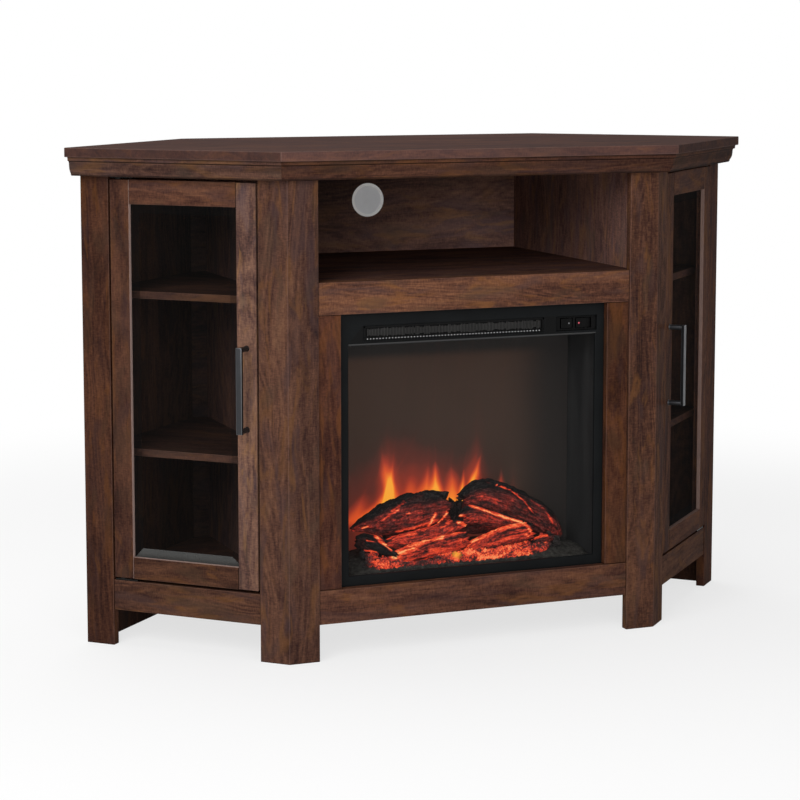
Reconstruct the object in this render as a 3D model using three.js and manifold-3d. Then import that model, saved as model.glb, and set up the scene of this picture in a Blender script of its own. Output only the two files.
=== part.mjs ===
// Corner fireplace TV stand: a hexagonal top on a panelled carcass, two glazed side cabinets,
// an open media bay and an electric fireplace insert. Millimetres, +Z up, front towards -Y.
// The origin is on the floor, under the middle of the bounding box.

import * as THREE from "three";
import { mergeVertices } from "three/addons/utils/BufferGeometryUtils.js";
import Module from "manifold-3d";

const wasm = await Module();
wasm.setup();

// Clearances
const seat = 0.3; // between pieces that touch
const slipFit = 0.5; // round a pane or a plate in its frame
const overrun = 4; // how far a cut runs past a face

// Angles of the 45 degree sides
const sideAngle = Math.PI / 4;
const diagonal = Math.SQRT1_2;
const mitreSlope = Math.tan(Math.PI / 8);

// Carcass in plan
const board = 15; // thickness of every panel and post board
const sideLength = 365.1; // slanted side face, front corner to outer end
const frontPostFace = 50.8; // each of the two faces of a front post
const outerPostFace = 50.1;
const dividerLap = 15.4; // divider behind the inner edge of a front post
const cabinetBackWidth = 34.73; // rear panel past the outer face of a divider
const fireStileWidth = 38.25;
const railRecess = 2; // front rails behind the faces of the posts
const stileRecess = 5;
const skirtRecess = 1.5;

// Carcass heights
const topThickness = 15;
const corniceHeight = 30;
const legHeight = 58.8; // floor to the underside of the lower rails
const frontRailHeight = 54;
const skirtHeight = 49.2;
const fireOpeningHeight = 436.2;
const mediaRailHeight = 51;
const mediaBayHeight = 190;
const cableHoleRadius = 28.5;
const cableHoleRiseShare = 0.485; // of the media bay's height
const cordHoleRiseShare = 0.16; // of the fire opening's height

// Top and cornice
const topFrontOverhang = 29.2; // past the faces of the front posts
const topSideOverhang = 34.4;
const topEndOverhang = 8.1; // past the rear side panels
const topBackOverhang = 12.4;
const corniceInset = 4.5; // upper bead of the cornice behind the edge of the top
const corniceDrop = 12; // how far the underside of the cornice is set in past the bead
const corniceEndInset = 2.9; // end of a side cornice behind the end of the top
const corniceInsetShares = [0, 0.09, 0.09, 0.5, 0.88, 1];
const corniceDepthShares = [0, 0.07, 0.27, 0.4, 0.87, 1];

// Shelves
const shelfThickness = 12;
const shelfSetback = 1; // behind the sweep of a door and the back of a front post
const shelfRiseShares = [0.312, 0.686]; // tops, of the height from the floor panel to the top

// Doors
const doorThickness = 16;
const doorSideGap = 3.4;
const doorEndGap = 4.8; // over and under a door
const stileWidth = 34;
const upperRailWidth = 39;
const lowerRailWidth = 35.5;
const rebateLap = 7; // width of the glass rebate
const rebateLip = 7; // wood left in front of it
const paneThickness = 5;
const paneEdge = 2;
const paneBevel = 21;
const handleLength = 136;
const handlePostInset = 4; // post centre from the end of the bar
const handleWidth = 10;
const handleDepth = 8;
const handleReach = 28; // outer face of the bar to the door
const handlePostRadius = 4;
const handleRiseShare = 0.4984; // of the door's height
const pivotInset = 12; // hinge axis from the outer edge of the door
const pinRadius = 3;
const pinRun = 14; // length of the pin inside the stile
const collarRadius = 6;
const leafThickness = 2.5;
const leafLength = 40;
const leafWidth = 11;
const catchWidth = 46;
const catchDepth = 14;
const catchHeight = 13;

// Fireplace insert
const bezelWidth = 463.5;
const bezelRecess = 16; // face of the bezel behind the faces of the posts
const bezelThickness = 6;
const bezelBand = 16; // sides and bottom
const headerBand = 21; // plain strip over the grille
const headerFoot = 6; // and under it
const grilleInset = 41.5; // from the left end of the bezel
const grilleHeight = 24;
const controlGap = 21; // between the grille and the control recess
const controlInset = 12.5; // from the right end of the bezel
const grilleThickness = 5;
const grilleFrame = 4;
const slotPitch = 4.83;
const slotWidth = 2.4;
const slotHeightShare = 0.5; // of the height inside the grille's frame
const controlDrop = 4; // control plate behind the face of the bezel
const controlThickness = 3;
const rockerHeight = 17;
const powerRockerWidth = 23;
const heatRockerWidth = 29;
const rockerGap = 4.5; // between the two switches
const rockerInset = 8.5; // right end of the heat switch to the end of the plate
const rockerMargin = 8.8; // left end of the power switch to the end of the plate
const rockerTilt = Math.PI / 22.5;
const rockerPivotDepth = 2;
const rockerCrown = 3.6; // ridge of a rocker in front of its pivot
const rockerBody = 5; // back of a rocker behind its pivot
const trimHeight = 2.4;
const trimProud = 1.2;
const sheet = 1.5; // steel of the casing
const casingSideInset = 4.25; // side of the casing in from the end of the bezel
const flickerSpace = 71.5; // clear depth behind the flame screen
const intakeDrop = 51; // middle intake slot under the top of the chamber
const intakePitch = 11;
const intakeHeight = 4;
const casingTopInset = 3; // top of the casing under the top of the bezel
const glassThickness = 4;
const glassSetback = 2; // behind the front edge of the casing
const screenSetback = 108; // flame screen behind the glass
const screenThickness = 3;
const bedWidthShare = 0.8; // of the chamber
const bedFrontShare = 0.07; // of the depth between glass and screen
const bedBackShare = 0.88;
const bedFrontHeight = 20;
const bedBackHeight = 42;
const rodRadius = 4;
const bladeCount = 9;
const bladeReach = 15;
const bladeThickness = 1;
const rodRiseShare = 0.14; // of the chamber's height
const rodDepthShare = 0.5; // of the space behind the screen
const motorSize = 36;
const housingDepth = 84;
const housingGap = 6; // behind the grille
const wheelClearance = 3;
const wheelBladeCount = 14;
const wheelShaftRadius = 3;
const elementDepth = 14;
const finCount = 26;
const blowerDepthShare = 0.64; // wheel axis in the depth of its housing
const inletRadius = 7;
const inletFlange = 11;
const inletFlangeThickness = 4;
const inletReach = 12;
const inletInset = 45; // from the right end of the casing

// Sides of round pieces
const roundSides = 40;
const pinSides = 24;
const logSides = 10;

// Levels and lines that the sizes above set
const bezelHalf = bezelWidth / 2;
const frontOpeningHalf = bezelHalf + seat + fireStileWidth;
const postInner = frontOpeningHalf + seat;
const frontHalf = postInner + frontPostFace;
const floorTop = legHeight + skirtHeight;
const floorBottom = floorTop - board;
const fireBottom = legHeight + frontRailHeight;
const fireTop = fireBottom + fireOpeningHeight;
const mediaFloor = fireTop + mediaRailHeight;
const topUnderside = mediaFloor + mediaBayHeight;
const totalHeight = topUnderside + topThickness;
const corniceBottom = topUnderside - corniceHeight;
const postTop = corniceBottom - seat;
const panelTop = topUnderside - seat;
const dividerInner = postInner + dividerLap;
const dividerOuter = dividerInner + board;
const carcassDepth = frontHalf + sideLength / diagonal - dividerOuter - cabinetBackWidth;
const railBack = railRecess + board;
const rearInner = carcassDepth - board;
const panelInner = sideLength - board; // inner face of a rear side panel, along the side face
const originShift = (topFrontOverhang - carcassDepth - topBackOverhang) / 2;

// Materials
const finish = (color, roughness, metalness) => new THREE.MeshStandardMaterial({ color, roughness, metalness });
const walnut = finish(0x4a2c20, 0.55, 0);
const walnutDark = finish(0x3b241b, 0.6, 0);
const clearGlass = finish(0x9fb0ae, 0.08, 0);
const smokedGlass = finish(0x2b2b2b, 0.08, 0);
const gunmetal = finish(0x3a3b3e, 0.35, 0.9);
const nickel = finish(0xb9b9b6, 0.3, 0.9);
const satinBlack = finish(0x17191a, 0.5, 0.2);
const glossBlack = finish(0x090909, 0.12, 0);
const paintedSteel = finish(0x232323, 0.6, 0.4);
const brightTrim = finish(0x9a9c9c, 0.3, 0.8);
const flameCloth = finish(0x3b2d29, 0.8, 0);
const charredLog = finish(0x2b1d18, 0.85, 0);
const ember = finish(0xa8321a, 0.8, 0);
const foil = finish(0xc9cbcc, 0.2, 1);
const mouldedBlack = finish(0x1c1c1c, 0.6, 0);

const model = new THREE.Group();
const plan = new THREE.Group(); // y is zero at the faces of the front posts
plan.position.y = originShift;
model.add(plan);

// A side group has x along the slanted face and y into the cabinet
const sides = { right: new THREE.Group(), left: new THREE.Group() };
sides.right.position.x = frontHalf;
sides.right.rotation.z = sideAngle;
sides.left.position.x = -frontHalf;
sides.left.rotation.z = -sideAngle;
plan.add(sides.right, sides.left);
const hands = [
  { name: "left", sign: -1, group: sides.left },
  { name: "right", sign: 1, group: sides.right },
];

function addPart(group, name, geometry, material) {
  const mesh = new THREE.Mesh(geometry, material);
  mesh.name = name;
  group.add(mesh);
  return mesh;
}

// Solids and their joins and cuts

function toSolid(geometry) {
  const bare = geometry.clone();
  bare.deleteAttribute("normal");
  bare.deleteAttribute("uv");
  const merged = mergeVertices(bare);
  const vertProperties = new Float32Array(merged.attributes.position.array);
  const triVerts = new Uint32Array(merged.index.array);
  return new wasm.Manifold(new wasm.Mesh({ numProp: 3, vertProperties, triVerts }));
}

function toGeometry(solid) {
  const mesh = solid.getMesh();
  const geometry = new THREE.BufferGeometry();
  geometry.setAttribute("position", new THREE.BufferAttribute(new Float32Array(mesh.vertProperties), 3));
  geometry.setIndex(new THREE.BufferAttribute(new Uint32Array(mesh.triVerts), 1));
  geometry.computeVertexNormals();
  return geometry;
}

function cut(base, ...tools) {
  return toGeometry(tools.reduce((solid, tool) => solid.subtract(toSolid(tool)), toSolid(base)));
}

function join(base, ...others) {
  return toGeometry(others.reduce((solid, other) => solid.add(toSolid(other)), toSolid(base)));
}

function block(x, y, z) {
  const size = [x, y, z].map(([low, high]) => high - low);
  const middle = [x, y, z].map(([low, high]) => (high + low) / 2);
  return new THREE.BoxGeometry(...size).translate(...middle);
}

// A range along a side face, turned over for the left side
function along(sign, near, far) {
  return sign > 0 ? [near, far] : [-far, -near];
}

// An outline in two axes drawn out along the third
function drawn(outline, axis, [low, high]) {
  const swap = axis === "y";
  const shape = new THREE.Shape(outline.map(([a, b]) => new THREE.Vector2(swap ? b : a, swap ? a : b)));
  const geometry = new THREE.ExtrudeGeometry(shape, { depth: high - low, bevelEnabled: false });
  geometry.translate(0, 0, low);
  const x = new THREE.Vector3(1, 0, 0);
  const y = new THREE.Vector3(0, 1, 0);
  const z = new THREE.Vector3(0, 0, 1);
  const turns = { x: [y, z, x], y: [z, x, y], z: [x, y, z] };
  return geometry.applyMatrix4(new THREE.Matrix4().makeBasis(...turns[axis]));
}

function rod(axis, radius, [low, high], centre, sideCount = pinSides) {
  const geometry = new THREE.CylinderGeometry(radius, radius, high - low, sideCount);
  if (axis === "x") geometry.rotateZ(Math.PI / 2);
  if (axis === "z") geometry.rotateX(Math.PI / 2);
  const middle = (low + high) / 2;
  const [a, b] = centre;
  const places = { x: [middle, a, b], y: [a, middle, b], z: [a, b, middle] };
  return geometry.translate(...places[axis]);
}

// A closed skin over rings of equal point counts
function loft(rings) {
  const count = rings[0].length;
  const positions = rings.flat().flatMap((point) => [point.x, point.y, point.z]);
  const index = [];
  for (let ring = 0; ring + 1 < rings.length; ring += 1) {
    for (let i = 0; i < count; i += 1) {
      const next = (i + 1) % count;
      const a = ring * count;
      const b = a + count;
      index.push(a + i, a + next, b + next, a + i, b + next, b + i);
    }
  }
  const last = (rings.length - 1) * count;
  for (let i = 1; i + 1 < count; i += 1) {
    index.push(0, i + 1, i);
    index.push(last, last + i, last + i + 1);
  }
  const geometry = new THREE.BufferGeometry();
  geometry.setAttribute("position", new THREE.Float32BufferAttribute(positions, 3));
  geometry.setAttribute("normal", new THREE.Float32BufferAttribute(positions, 3));
  geometry.setAttribute("uv", new THREE.Float32BufferAttribute(new Array(2 * rings.flat().length).fill(0), 2));
  geometry.setIndex(index);
  return geometry;
}

// Plan points. A side point is given along and into the right side face.
function sidePoint(run, depth) {
  return [frontHalf + (run - depth) * diagonal, (run + depth) * diagonal];
}

function mirrored(points) {
  return [...points, ...points.map(([x, y]) => [-x, y]).reverse()];
}

// Where a line at a depth behind a side face crosses a plan line across the stand
function runAt(depth, y) {
  return y / diagonal - depth;
}

function turned(points, sign) {
  return points.map(([x, y]) => [sign * x, y]);
}

// Top and cornice

const topCornerX = frontHalf + topSideOverhang / diagonal - topFrontOverhang;
const topBackY = carcassDepth + topBackOverhang;
const topEndRun = sideLength + topEndOverhang;

function addTop() {
  const outline = mirrored([
    [topCornerX, -topFrontOverhang],
    sidePoint(topEndRun, -topSideOverhang),
    sidePoint(topEndRun, topBackY / diagonal - topEndRun),
  ]);
  addPart(plan, "top_panel", drawn(outline, "z", [topUnderside, totalHeight]), walnut);
}

// The section is in distance behind the edge of the top and height
function corniceSection(backInset) {
  const levels = corniceDepthShares.map((share) => topUnderside - seat - share * (corniceHeight - seat));
  const insets = corniceInsetShares.map((share) => corniceInset + share * corniceDrop);
  const face = insets.map((inset, i) => [inset, levels[i]]);
  return [...face, [backInset, levels[levels.length - 1]], [backInset, levels[0]]];
}

// Moves the ends of a drawn section so that they lie on the mitre planes
function mitred(geometry, middle, insetOf) {
  const position = geometry.attributes.position;
  for (let i = 0; i < position.count; i += 1) {
    const x = position.getX(i);
    position.setX(i, x - Math.sign(x - middle) * insetOf(position.getY(i)) * mitreSlope);
  }
  return geometry;
}

function addCornice() {
  const frontOutline = corniceSection(topFrontOverhang + board).map(([inset, z]) => [inset - topFrontOverhang, z]);
  const front = mitred(drawn(frontOutline, "x", [-topCornerX, topCornerX]), 0, (y) => y + topFrontOverhang);
  addPart(plan, "cornice_front", front, walnut);

  const nearRun = (topCornerX - frontHalf - topFrontOverhang) * diagonal + seat;
  const farRun = topEndRun - corniceEndInset;
  for (const { name, sign, group } of hands) {
    const outline = corniceSection(topSideOverhang + board).map(([inset, z]) => [inset - topSideOverhang, z]);
    const bar = drawn(outline, "x", along(sign, nearRun, farRun));
    const position = bar.attributes.position;
    for (let i = 0; i < position.count; i += 1) {
      const run = sign * position.getX(i);
      const inset = position.getY(i) + topSideOverhang;
      if (run < (nearRun + farRun) / 2) position.setX(i, sign * (run + inset * mitreSlope));
    }
    addPart(group, `cornice_${name}`, bar, walnut);
  }
}

// Posts and rear panels

function addPosts() {
  for (const { name, sign, group } of hands) {
    const innerRun = board * mitreSlope;
    const outline = turned([
      [postInner, 0],
      [frontHalf, 0],
      sidePoint(frontPostFace, 0),
      sidePoint(frontPostFace, board),
      sidePoint(innerRun, board),
      [postInner, board],
    ], sign);
    addPart(plan, `front_post_${name}`, drawn(outline, "z", [0, postTop]), walnut);

    const outer = block(along(sign, sideLength - outerPostFace, sideLength), [0, board], [0, postTop]);
    addPart(group, `outer_post_${name}`, outer, walnut);

    const depthAtBack = (run) => carcassDepth / diagonal - run;
    const panel = turned([
      [panelInner, board + seat],
      [sideLength, board + seat],
      [sideLength, depthAtBack(sideLength)],
      [panelInner, depthAtBack(panelInner)],
    ], sign);
    addPart(group, `rear_side_panel_${name}`, drawn(panel, "z", [0, panelTop]), walnutDark);
  }
}

const cableHoleZ = mediaFloor + cableHoleRiseShare * (topUnderside - mediaFloor);
const cordHoleZ = fireBottom + cordHoleRiseShare * fireOpeningHeight;
const cordHoleX = bezelHalf - casingSideInset - inletInset;

function addBackPanel() {
  const reach = (y) => frontHalf + (panelInner - seat) / diagonal - y;
  const outline = mirrored([
    [reach(rearInner), rearInner],
    [reach(carcassDepth), carcassDepth],
  ]);
  const panel = drawn(outline, "z", [legHeight, panelTop]);
  const through = [rearInner - overrun, carcassDepth + overrun];
  const cableHole = rod("y", cableHoleRadius, through, [0, cableHoleZ], roundSides);
  const cordHole = rod("y", cableHoleRadius, through, [cordHoleX, cordHoleZ], roundSides);
  addPart(plan, "back_panel", cut(panel, cableHole, cordHole), walnutDark);
}

// Panels inside the carcass

const rearFace = rearInner - seat;
const panelFace = panelInner - seat;

function addPanels() {
  const front = railBack + seat;
  const behindFace = board + seat;
  const floor = mirrored([
    sidePoint(runAt(behindFace, front), behindFace),
    sidePoint(panelFace, behindFace),
    sidePoint(panelFace, runAt(panelFace, rearFace)),
  ]);
  addPart(plan, "floor_panel", drawn(floor, "z", [floorBottom, floorTop]), walnutDark);

  for (const { name, sign } of hands) {
    const divider = block(along(sign, dividerInner, dividerOuter), [board + seat, rearFace], [floorTop + seat, panelTop]);
    addPart(plan, `divider_${name}`, divider, walnutDark);
  }

  const shelfHalf = dividerInner - seat;
  const mediaShelf = block([-shelfHalf, shelfHalf], [front, rearFace], [mediaFloor - board, mediaFloor]);
  addPart(plan, "media_shelf", mediaShelf, walnutDark);
}

function addCabinetShelves() {
  const levels = ["lower", "upper"];
  const dividerFace = dividerOuter + seat;
  const postDepth = (board + seat + frontHalf - dividerFace) * diagonal;
  const front = Math.max(doorSweep, postDepth) + shelfSetback;
  const outline = [
    [dividerFace, front / diagonal + dividerFace - frontHalf],
    sidePoint(panelFace, front),
    sidePoint(panelFace, runAt(panelFace, rearFace)),
    [dividerFace, rearFace],
  ];
  for (const { name, sign } of hands) {
    levels.forEach((level, i) => {
      const top = floorTop + shelfRiseShares[i] * (topUnderside - floorTop);
      const shelf = drawn(turned(outline, sign), "z", [top - shelfThickness, top]);
      addPart(plan, `shelf_${name}_${level}`, shelf, walnutDark);
    });
  }
}

// Rails, stiles and skirts of the faces

function addFaceFrame() {
  const across = [-frontOpeningHalf, frontOpeningHalf];
  const railDepth = [railRecess, railBack];
  addPart(plan, "lower_rail", block(across, railDepth, [legHeight, fireBottom]), walnut);
  addPart(plan, "media_rail", block(across, railDepth, [fireTop, mediaFloor]), walnut);
  for (const { name, sign, group } of hands) {
    const width = along(sign, bezelHalf + seat, frontOpeningHalf);
    const stile = block(width, [stileRecess, stileRecess + board], [fireBottom + seat, fireTop - seat]);
    addPart(plan, `fire_stile_${name}`, stile, walnut);

    const run = along(sign, frontPostFace + seat, sideLength - outerPostFace - seat);
    addPart(group, `skirt_${name}`, block(run, [skirtRecess, board], [legHeight, floorTop]), walnut);
  }
}

// Doors

const doorNear = frontPostFace + doorSideGap;
const doorFar = sideLength - outerPostFace - doorSideGap;
const doorBottom = floorTop + doorEndGap;
const doorTop = corniceBottom - doorEndGap;
const sightNear = doorNear + stileWidth;
const sightFar = doorFar - stileWidth;
const sightBottom = doorBottom + lowerRailWidth;
const sightTop = doorTop - upperRailWidth;
const handleMiddle = doorBottom + handleRiseShare * (doorTop - doorBottom);
const pivotRun = doorFar - pivotInset;
const pivotDepth = doorThickness / 2;
const doorSweep = pivotDepth + Math.hypot(pivotInset, pivotDepth);

function addDoor({ name, sign, group }) {
  const depth = [0, doorThickness];
  const pocketDepth = [rebateLip, doorThickness + overrun];
  const pocketHeight = [sightBottom - rebateLap, sightTop + rebateLap];
  const height = [doorBottom, doorTop];
  const pinHole = pinRadius + seat;
  const hole = (level) => {
    return rod("z", pinHole, [level - pinRun - seat, level + pinRun + seat], [sign * pivotRun, pivotDepth]);
  };

  const hingeStile = cut(
    block(along(sign, sightFar, doorFar), depth, height),
    block(along(sign, sightFar - overrun, sightFar + rebateLap), pocketDepth, pocketHeight),
    hole(doorBottom),
    hole(doorTop),
  );
  addPart(group, `door_${name}_hinge_stile`, hingeStile, walnut);

  const lockStile = cut(
    block(along(sign, doorNear, sightNear), depth, height),
    block(along(sign, sightNear - rebateLap, sightNear + overrun), pocketDepth, pocketHeight),
  );
  addPart(group, `door_${name}_lock_stile`, lockStile, walnut);

  const railRun = along(sign, sightNear + seat, sightFar - seat);
  const pocketRun = along(sign, sightNear - overrun, sightFar + overrun);
  const upperRail = cut(
    block(railRun, depth, [sightTop, doorTop]),
    block(pocketRun, pocketDepth, [sightTop - overrun, sightTop + rebateLap]),
  );
  const lowerRail = cut(
    block(railRun, depth, [doorBottom, sightBottom]),
    block(pocketRun, pocketDepth, [sightBottom - rebateLap, sightBottom + overrun]),
  );
  addPart(group, `door_${name}_upper_rail`, upperRail, walnut);
  addPart(group, `door_${name}_lower_rail`, lowerRail, walnut);

  addPart(group, `door_${name}_glass`, bevelledPane(sign), clearGlass);
  addPart(group, `door_${name}_handle`, handle(sign), gunmetal);
}

function bevelledPane(sign) {
  const low = [sightNear - rebateLap + slipFit, sightBottom - rebateLap + slipFit];
  const high = [sightFar + rebateLap - slipFit, sightTop + rebateLap - slipFit];
  const ring = (inset, depth) => {
    const [near, far] = along(sign, low[0] + inset, high[0] - inset);
    const bottom = low[1] + inset;
    const top = high[1] - inset;
    const corners = [[near, bottom], [far, bottom], [far, top], [near, top]];
    return corners.map(([x, z]) => new THREE.Vector3(x, depth, z));
  };
  const face = rebateLip + seat;
  const back = face + paneThickness;
  return loft([ring(0, back), ring(0, back - paneEdge), ring(paneBevel, face)]);
}

function handle(sign) {
  const middle = (doorNear + sightNear) / 2 + seat;
  const run = along(sign, middle - handleWidth / 2, middle + handleWidth / 2);
  const barDepth = [-handleReach, handleDepth - handleReach];
  const bar = block(run, barDepth, [handleMiddle - handleLength / 2, handleMiddle + handleLength / 2]);
  const posts = [-1, 1].map((end) => {
    const z = handleMiddle + end * (handleLength / 2 - handlePostInset);
    return rod("y", handlePostRadius, [handleDepth / 2 - handleReach, -seat], [sign * middle, z]);
  });
  return join(bar, ...posts);
}

// Pivot hinges and catches

function pivotHinge(sign, level, up) {
  const span = (from, to) => (up > 0 ? [level + from, level + to] : [level - to, level - from]);
  const leafRun = along(sign, pivotRun + pivotInset - leafLength, pivotRun + pivotInset);
  const leaf = block(leafRun, [pivotDepth - leafWidth / 2, pivotDepth + leafWidth / 2], span(seat, seat + leafThickness));
  const centre = [sign * pivotRun, pivotDepth];
  const collar = rod("z", collarRadius, span(seat + leafThickness / 2, doorEndGap - seat), centre);
  const pin = rod("z", pinRadius, span(seat + leafThickness / 2, doorEndGap + pinRun), centre);
  return join(leaf, collar, pin);
}

function addHardware({ name, sign, group }) {
  addPart(group, `pivot_hinge_${name}_lower`, pivotHinge(sign, floorTop, 1), nickel);
  addPart(group, `pivot_hinge_${name}_upper`, pivotHinge(sign, corniceBottom, -1), nickel);
  const middle = (doorNear + doorFar) / 2;
  const run = along(sign, middle - catchWidth / 2, middle + catchWidth / 2);
  const depth = [doorThickness + seat, doorThickness + seat + catchDepth];
  addPart(group, `magnetic_catch_${name}`, block(run, depth, [floorTop + seat, floorTop + catchHeight]), nickel);
}

// Fireplace insert

const bezelBottom = fireBottom + seat;
const bezelTop = fireTop - seat;
const bezelBack = bezelRecess + bezelThickness;
const grilleTop = bezelTop - headerBand;
const grilleBottom = grilleTop - grilleHeight;
const headerBottom = grilleBottom - headerFoot;
const grilleLeft = grilleInset - bezelHalf;
const controlRight = bezelHalf - controlInset;
const rockersWidth = powerRockerWidth + rockerGap + heatRockerWidth;
const controlLeft = controlRight - 2 * seat - rockerInset - rockersWidth - rockerMargin;
const grilleRight = controlLeft - controlGap;
const casingHalf = bezelHalf - casingSideInset;
const casingFront = bezelBack + seat;
const casingBottom = floorTop + seat;
const casingTop = bezelTop - casingTopInset;
const chamberHalf = casingHalf - sheet;
const chamberBottom = casingBottom + sheet;
const chamberTop = headerBottom - sheet;
const chamberHeight = chamberTop - chamberBottom;
const glassBack = casingFront + glassSetback + glassThickness;
const screenFront = glassBack + screenSetback;
const screenBack = screenFront + screenThickness;
const casingBack = screenBack + flickerSpace + sheet;
const rodY = screenBack + rodDepthShare * flickerSpace;
const rodZ = chamberBottom + rodRiseShare * chamberHeight;

function addBezel() {
  const depth = [bezelRecess, bezelBack];
  const through = [bezelRecess - overrun, bezelBack + overrun];
  const windowRun = [bezelBand - bezelHalf, bezelHalf - bezelBand];
  const bezel = cut(
    block([-bezelHalf, bezelHalf], depth, [bezelBottom, bezelTop]),
    block(windowRun, through, [bezelBottom + bezelBand, headerBottom]),
    block([grilleLeft, grilleRight], through, [grilleBottom, grilleTop]),
    block([controlLeft, controlRight], through, [grilleBottom, grilleTop]),
  );
  addPart(plan, "bezel", bezel, satinBlack);

  const trimDepth = [bezelRecess - trimProud, bezelRecess - seat];
  const trim = block(windowRun, trimDepth, [headerBottom + seat, headerBottom + trimHeight]);
  addPart(plan, "header_trim", trim, brightTrim);
}

function addGrille() {
  const left = grilleLeft + seat;
  const right = grilleRight - seat;
  const bottom = grilleBottom + seat;
  const top = grilleTop - seat;
  const depth = [bezelRecess + seat, bezelRecess + grilleThickness];
  const through = [bezelRecess - overrun, bezelRecess + grilleThickness + overrun];
  const slotTop = top - grilleFrame;
  const slotBottom = slotTop - slotHeightShare * (slotTop - bottom - grilleFrame) - slotWidth;
  const count = Math.floor((right - left - grilleFrame) / slotPitch);
  const first = (left + right - (count - 1) * slotPitch) / 2;
  const slots = Array.from({ length: count }, (_, i) => {
    const x = first + i * slotPitch;
    return block([x - slotWidth / 2, x + slotWidth / 2], through, [slotBottom, slotTop]);
  });
  addPart(plan, "vent_grille", cut(block([left, right], depth, [bottom, top]), ...slots), mouldedBlack);
}

// Outline of a rocker in plan, about its pivot, in its pressed position
function rockerOutline(width, centreX, pivotY) {
  const reach = width / 2 - slipFit;
  const shoulder = rockerCrown - reach * Math.tan(rockerTilt);
  const waist = reach - rockerBody / 2;
  const upright = [
    [-reach, -shoulder],
    [0, -rockerCrown],
    [reach, -shoulder],
    [waist, rockerBody],
    [-waist, rockerBody],
  ];
  const cos = Math.cos(rockerTilt);
  const sin = Math.sin(rockerTilt);
  return upright.map(([x, y]) => [centreX + x * cos - y * sin, pivotY + x * sin + y * cos]);
}

function addControls() {
  const face = bezelRecess + controlDrop;
  const depth = [face, face + controlThickness];
  const through = [face - overrun, face + controlThickness + overrun];
  const middleZ = (grilleTop + grilleBottom) / 2;
  const height = [middleZ - rockerHeight / 2, middleZ + rockerHeight / 2];
  const plateRight = controlRight - seat;
  const heatRight = plateRight - rockerInset;
  const heatLeft = heatRight - heatRockerWidth;
  const powerRight = heatLeft - rockerGap;
  const powerLeft = powerRight - powerRockerWidth;
  const plate = cut(
    block([controlLeft + seat, plateRight], depth, [grilleBottom + seat, grilleTop - seat]),
    block([heatLeft, heatRight], through, height),
    block([powerLeft, powerRight], through, height),
  );
  addPart(plan, "control_plate", plate, glossBlack);

  const rockerZ = [height[0] + slipFit, height[1] - slipFit];
  const pivotY = face + rockerPivotDepth;
  const heatOutline = rockerOutline(heatRockerWidth, (heatLeft + heatRight) / 2, pivotY);
  const powerOutline = rockerOutline(powerRockerWidth, (powerLeft + powerRight) / 2, pivotY);
  addPart(plan, "heat_rocker", drawn(heatOutline, "z", rockerZ), glossBlack);
  addPart(plan, "power_rocker", drawn(powerOutline, "z", rockerZ), glossBlack);
}

function addCasing() {
  const shell = block([-casingHalf, casingHalf], [casingFront, casingBack], [casingBottom, casingTop]);
  const inside = [casingFront - overrun, casingBack - sheet];
  const across = [-chamberHalf, chamberHalf];
  const intake = [-1, 0, 1].map((row) => {
    const z = chamberTop - intakeDrop - row * intakePitch;
    const height = [z, z + intakeHeight];
    return block([-casingHalf / 2, casingHalf / 2], [casingBack - overrun, casingBack + overrun], height);
  });
  const casing = cut(
    shell,
    block(across, inside, [chamberBottom, chamberTop]),
    block(across, inside, [headerBottom, casingTop - sheet]),
    rod("x", rodRadius + seat, [chamberHalf - overrun, casingHalf + overrun], [rodY, rodZ]),
    rod("y", inletRadius + seat, [casingBack - overrun, casingBack + overrun], [cordHoleX, cordHoleZ]),
    ...intake,
  );
  addPart(plan, "firebox_casing", casing, paintedSteel);

  const paneHalf = chamberHalf - slipFit;
  const paneZ = [chamberBottom + slipFit, chamberTop - slipFit];
  const glassY = [glassBack - glassThickness, glassBack];
  addPart(plan, "firebox_glass", block([-paneHalf, paneHalf], glassY, paneZ), smokedGlass);
  addPart(plan, "flame_screen", block([-paneHalf, paneHalf], [screenFront, screenBack], paneZ), flameCloth);
}

// Ember bed and logs. A log is given by its two ends and its radii, as shares of the
// half width of the chamber, of the depth from glass to screen and of the ember bed's back height.

const logShares = [
  { from: [-0.73, 0.52, 1.62], to: [-0.13, 0.62, 2.46], radii: [0.43, 0.62] },
  { from: [0.11, 0.66, 2.66], to: [0.79, 0.57, 1.31], radii: [0.57, 0.48] },
  { from: [-0.07, 0.7, 1.31], to: [0.02, 0.68, 2.27], radii: [0.36, 0.33] },
  { from: [0.02, 0.44, 2.03], to: [0.51, 0.39, 1.43], radii: [0.48, 0.36] },
  { from: [0.03, 0.28, 0.86], to: [0.66, 0.31, 1.31], radii: [0.36, 0.29] },
  { from: [-0.51, 0.25, 0.74], to: [0.03, 0.33, 1.38], radii: [0.33, 0.36] },
  { from: [-0.76, 0.36, 1.33], to: [-0.57, 0.2, 0.93], radii: [0.26, 0.21] },
  { from: [-0.44, 0.37, 1.14], to: [-0.16, 0.43, 1.79], radii: [0.26, 0.31] },
];

const bedHalf = bedWidthShare * chamberHalf;
const bedFront = glassBack + bedFrontShare * screenSetback;
const bedBack = glassBack + bedBackShare * screenSetback;

function bedShape(extra) {
  const foot = chamberBottom + seat - extra;
  const outline = [
    [bedFront - extra, foot],
    [bedBack + extra, foot],
    [bedBack + extra, chamberBottom + bedBackHeight + extra],
    [(bedFront + bedBack) / 2, chamberBottom + bedBackHeight + extra],
    [bedFront - extra, chamberBottom + bedFrontHeight + extra],
  ];
  return drawn(outline, "x", [-bedHalf - extra, bedHalf + extra]);
}

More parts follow.
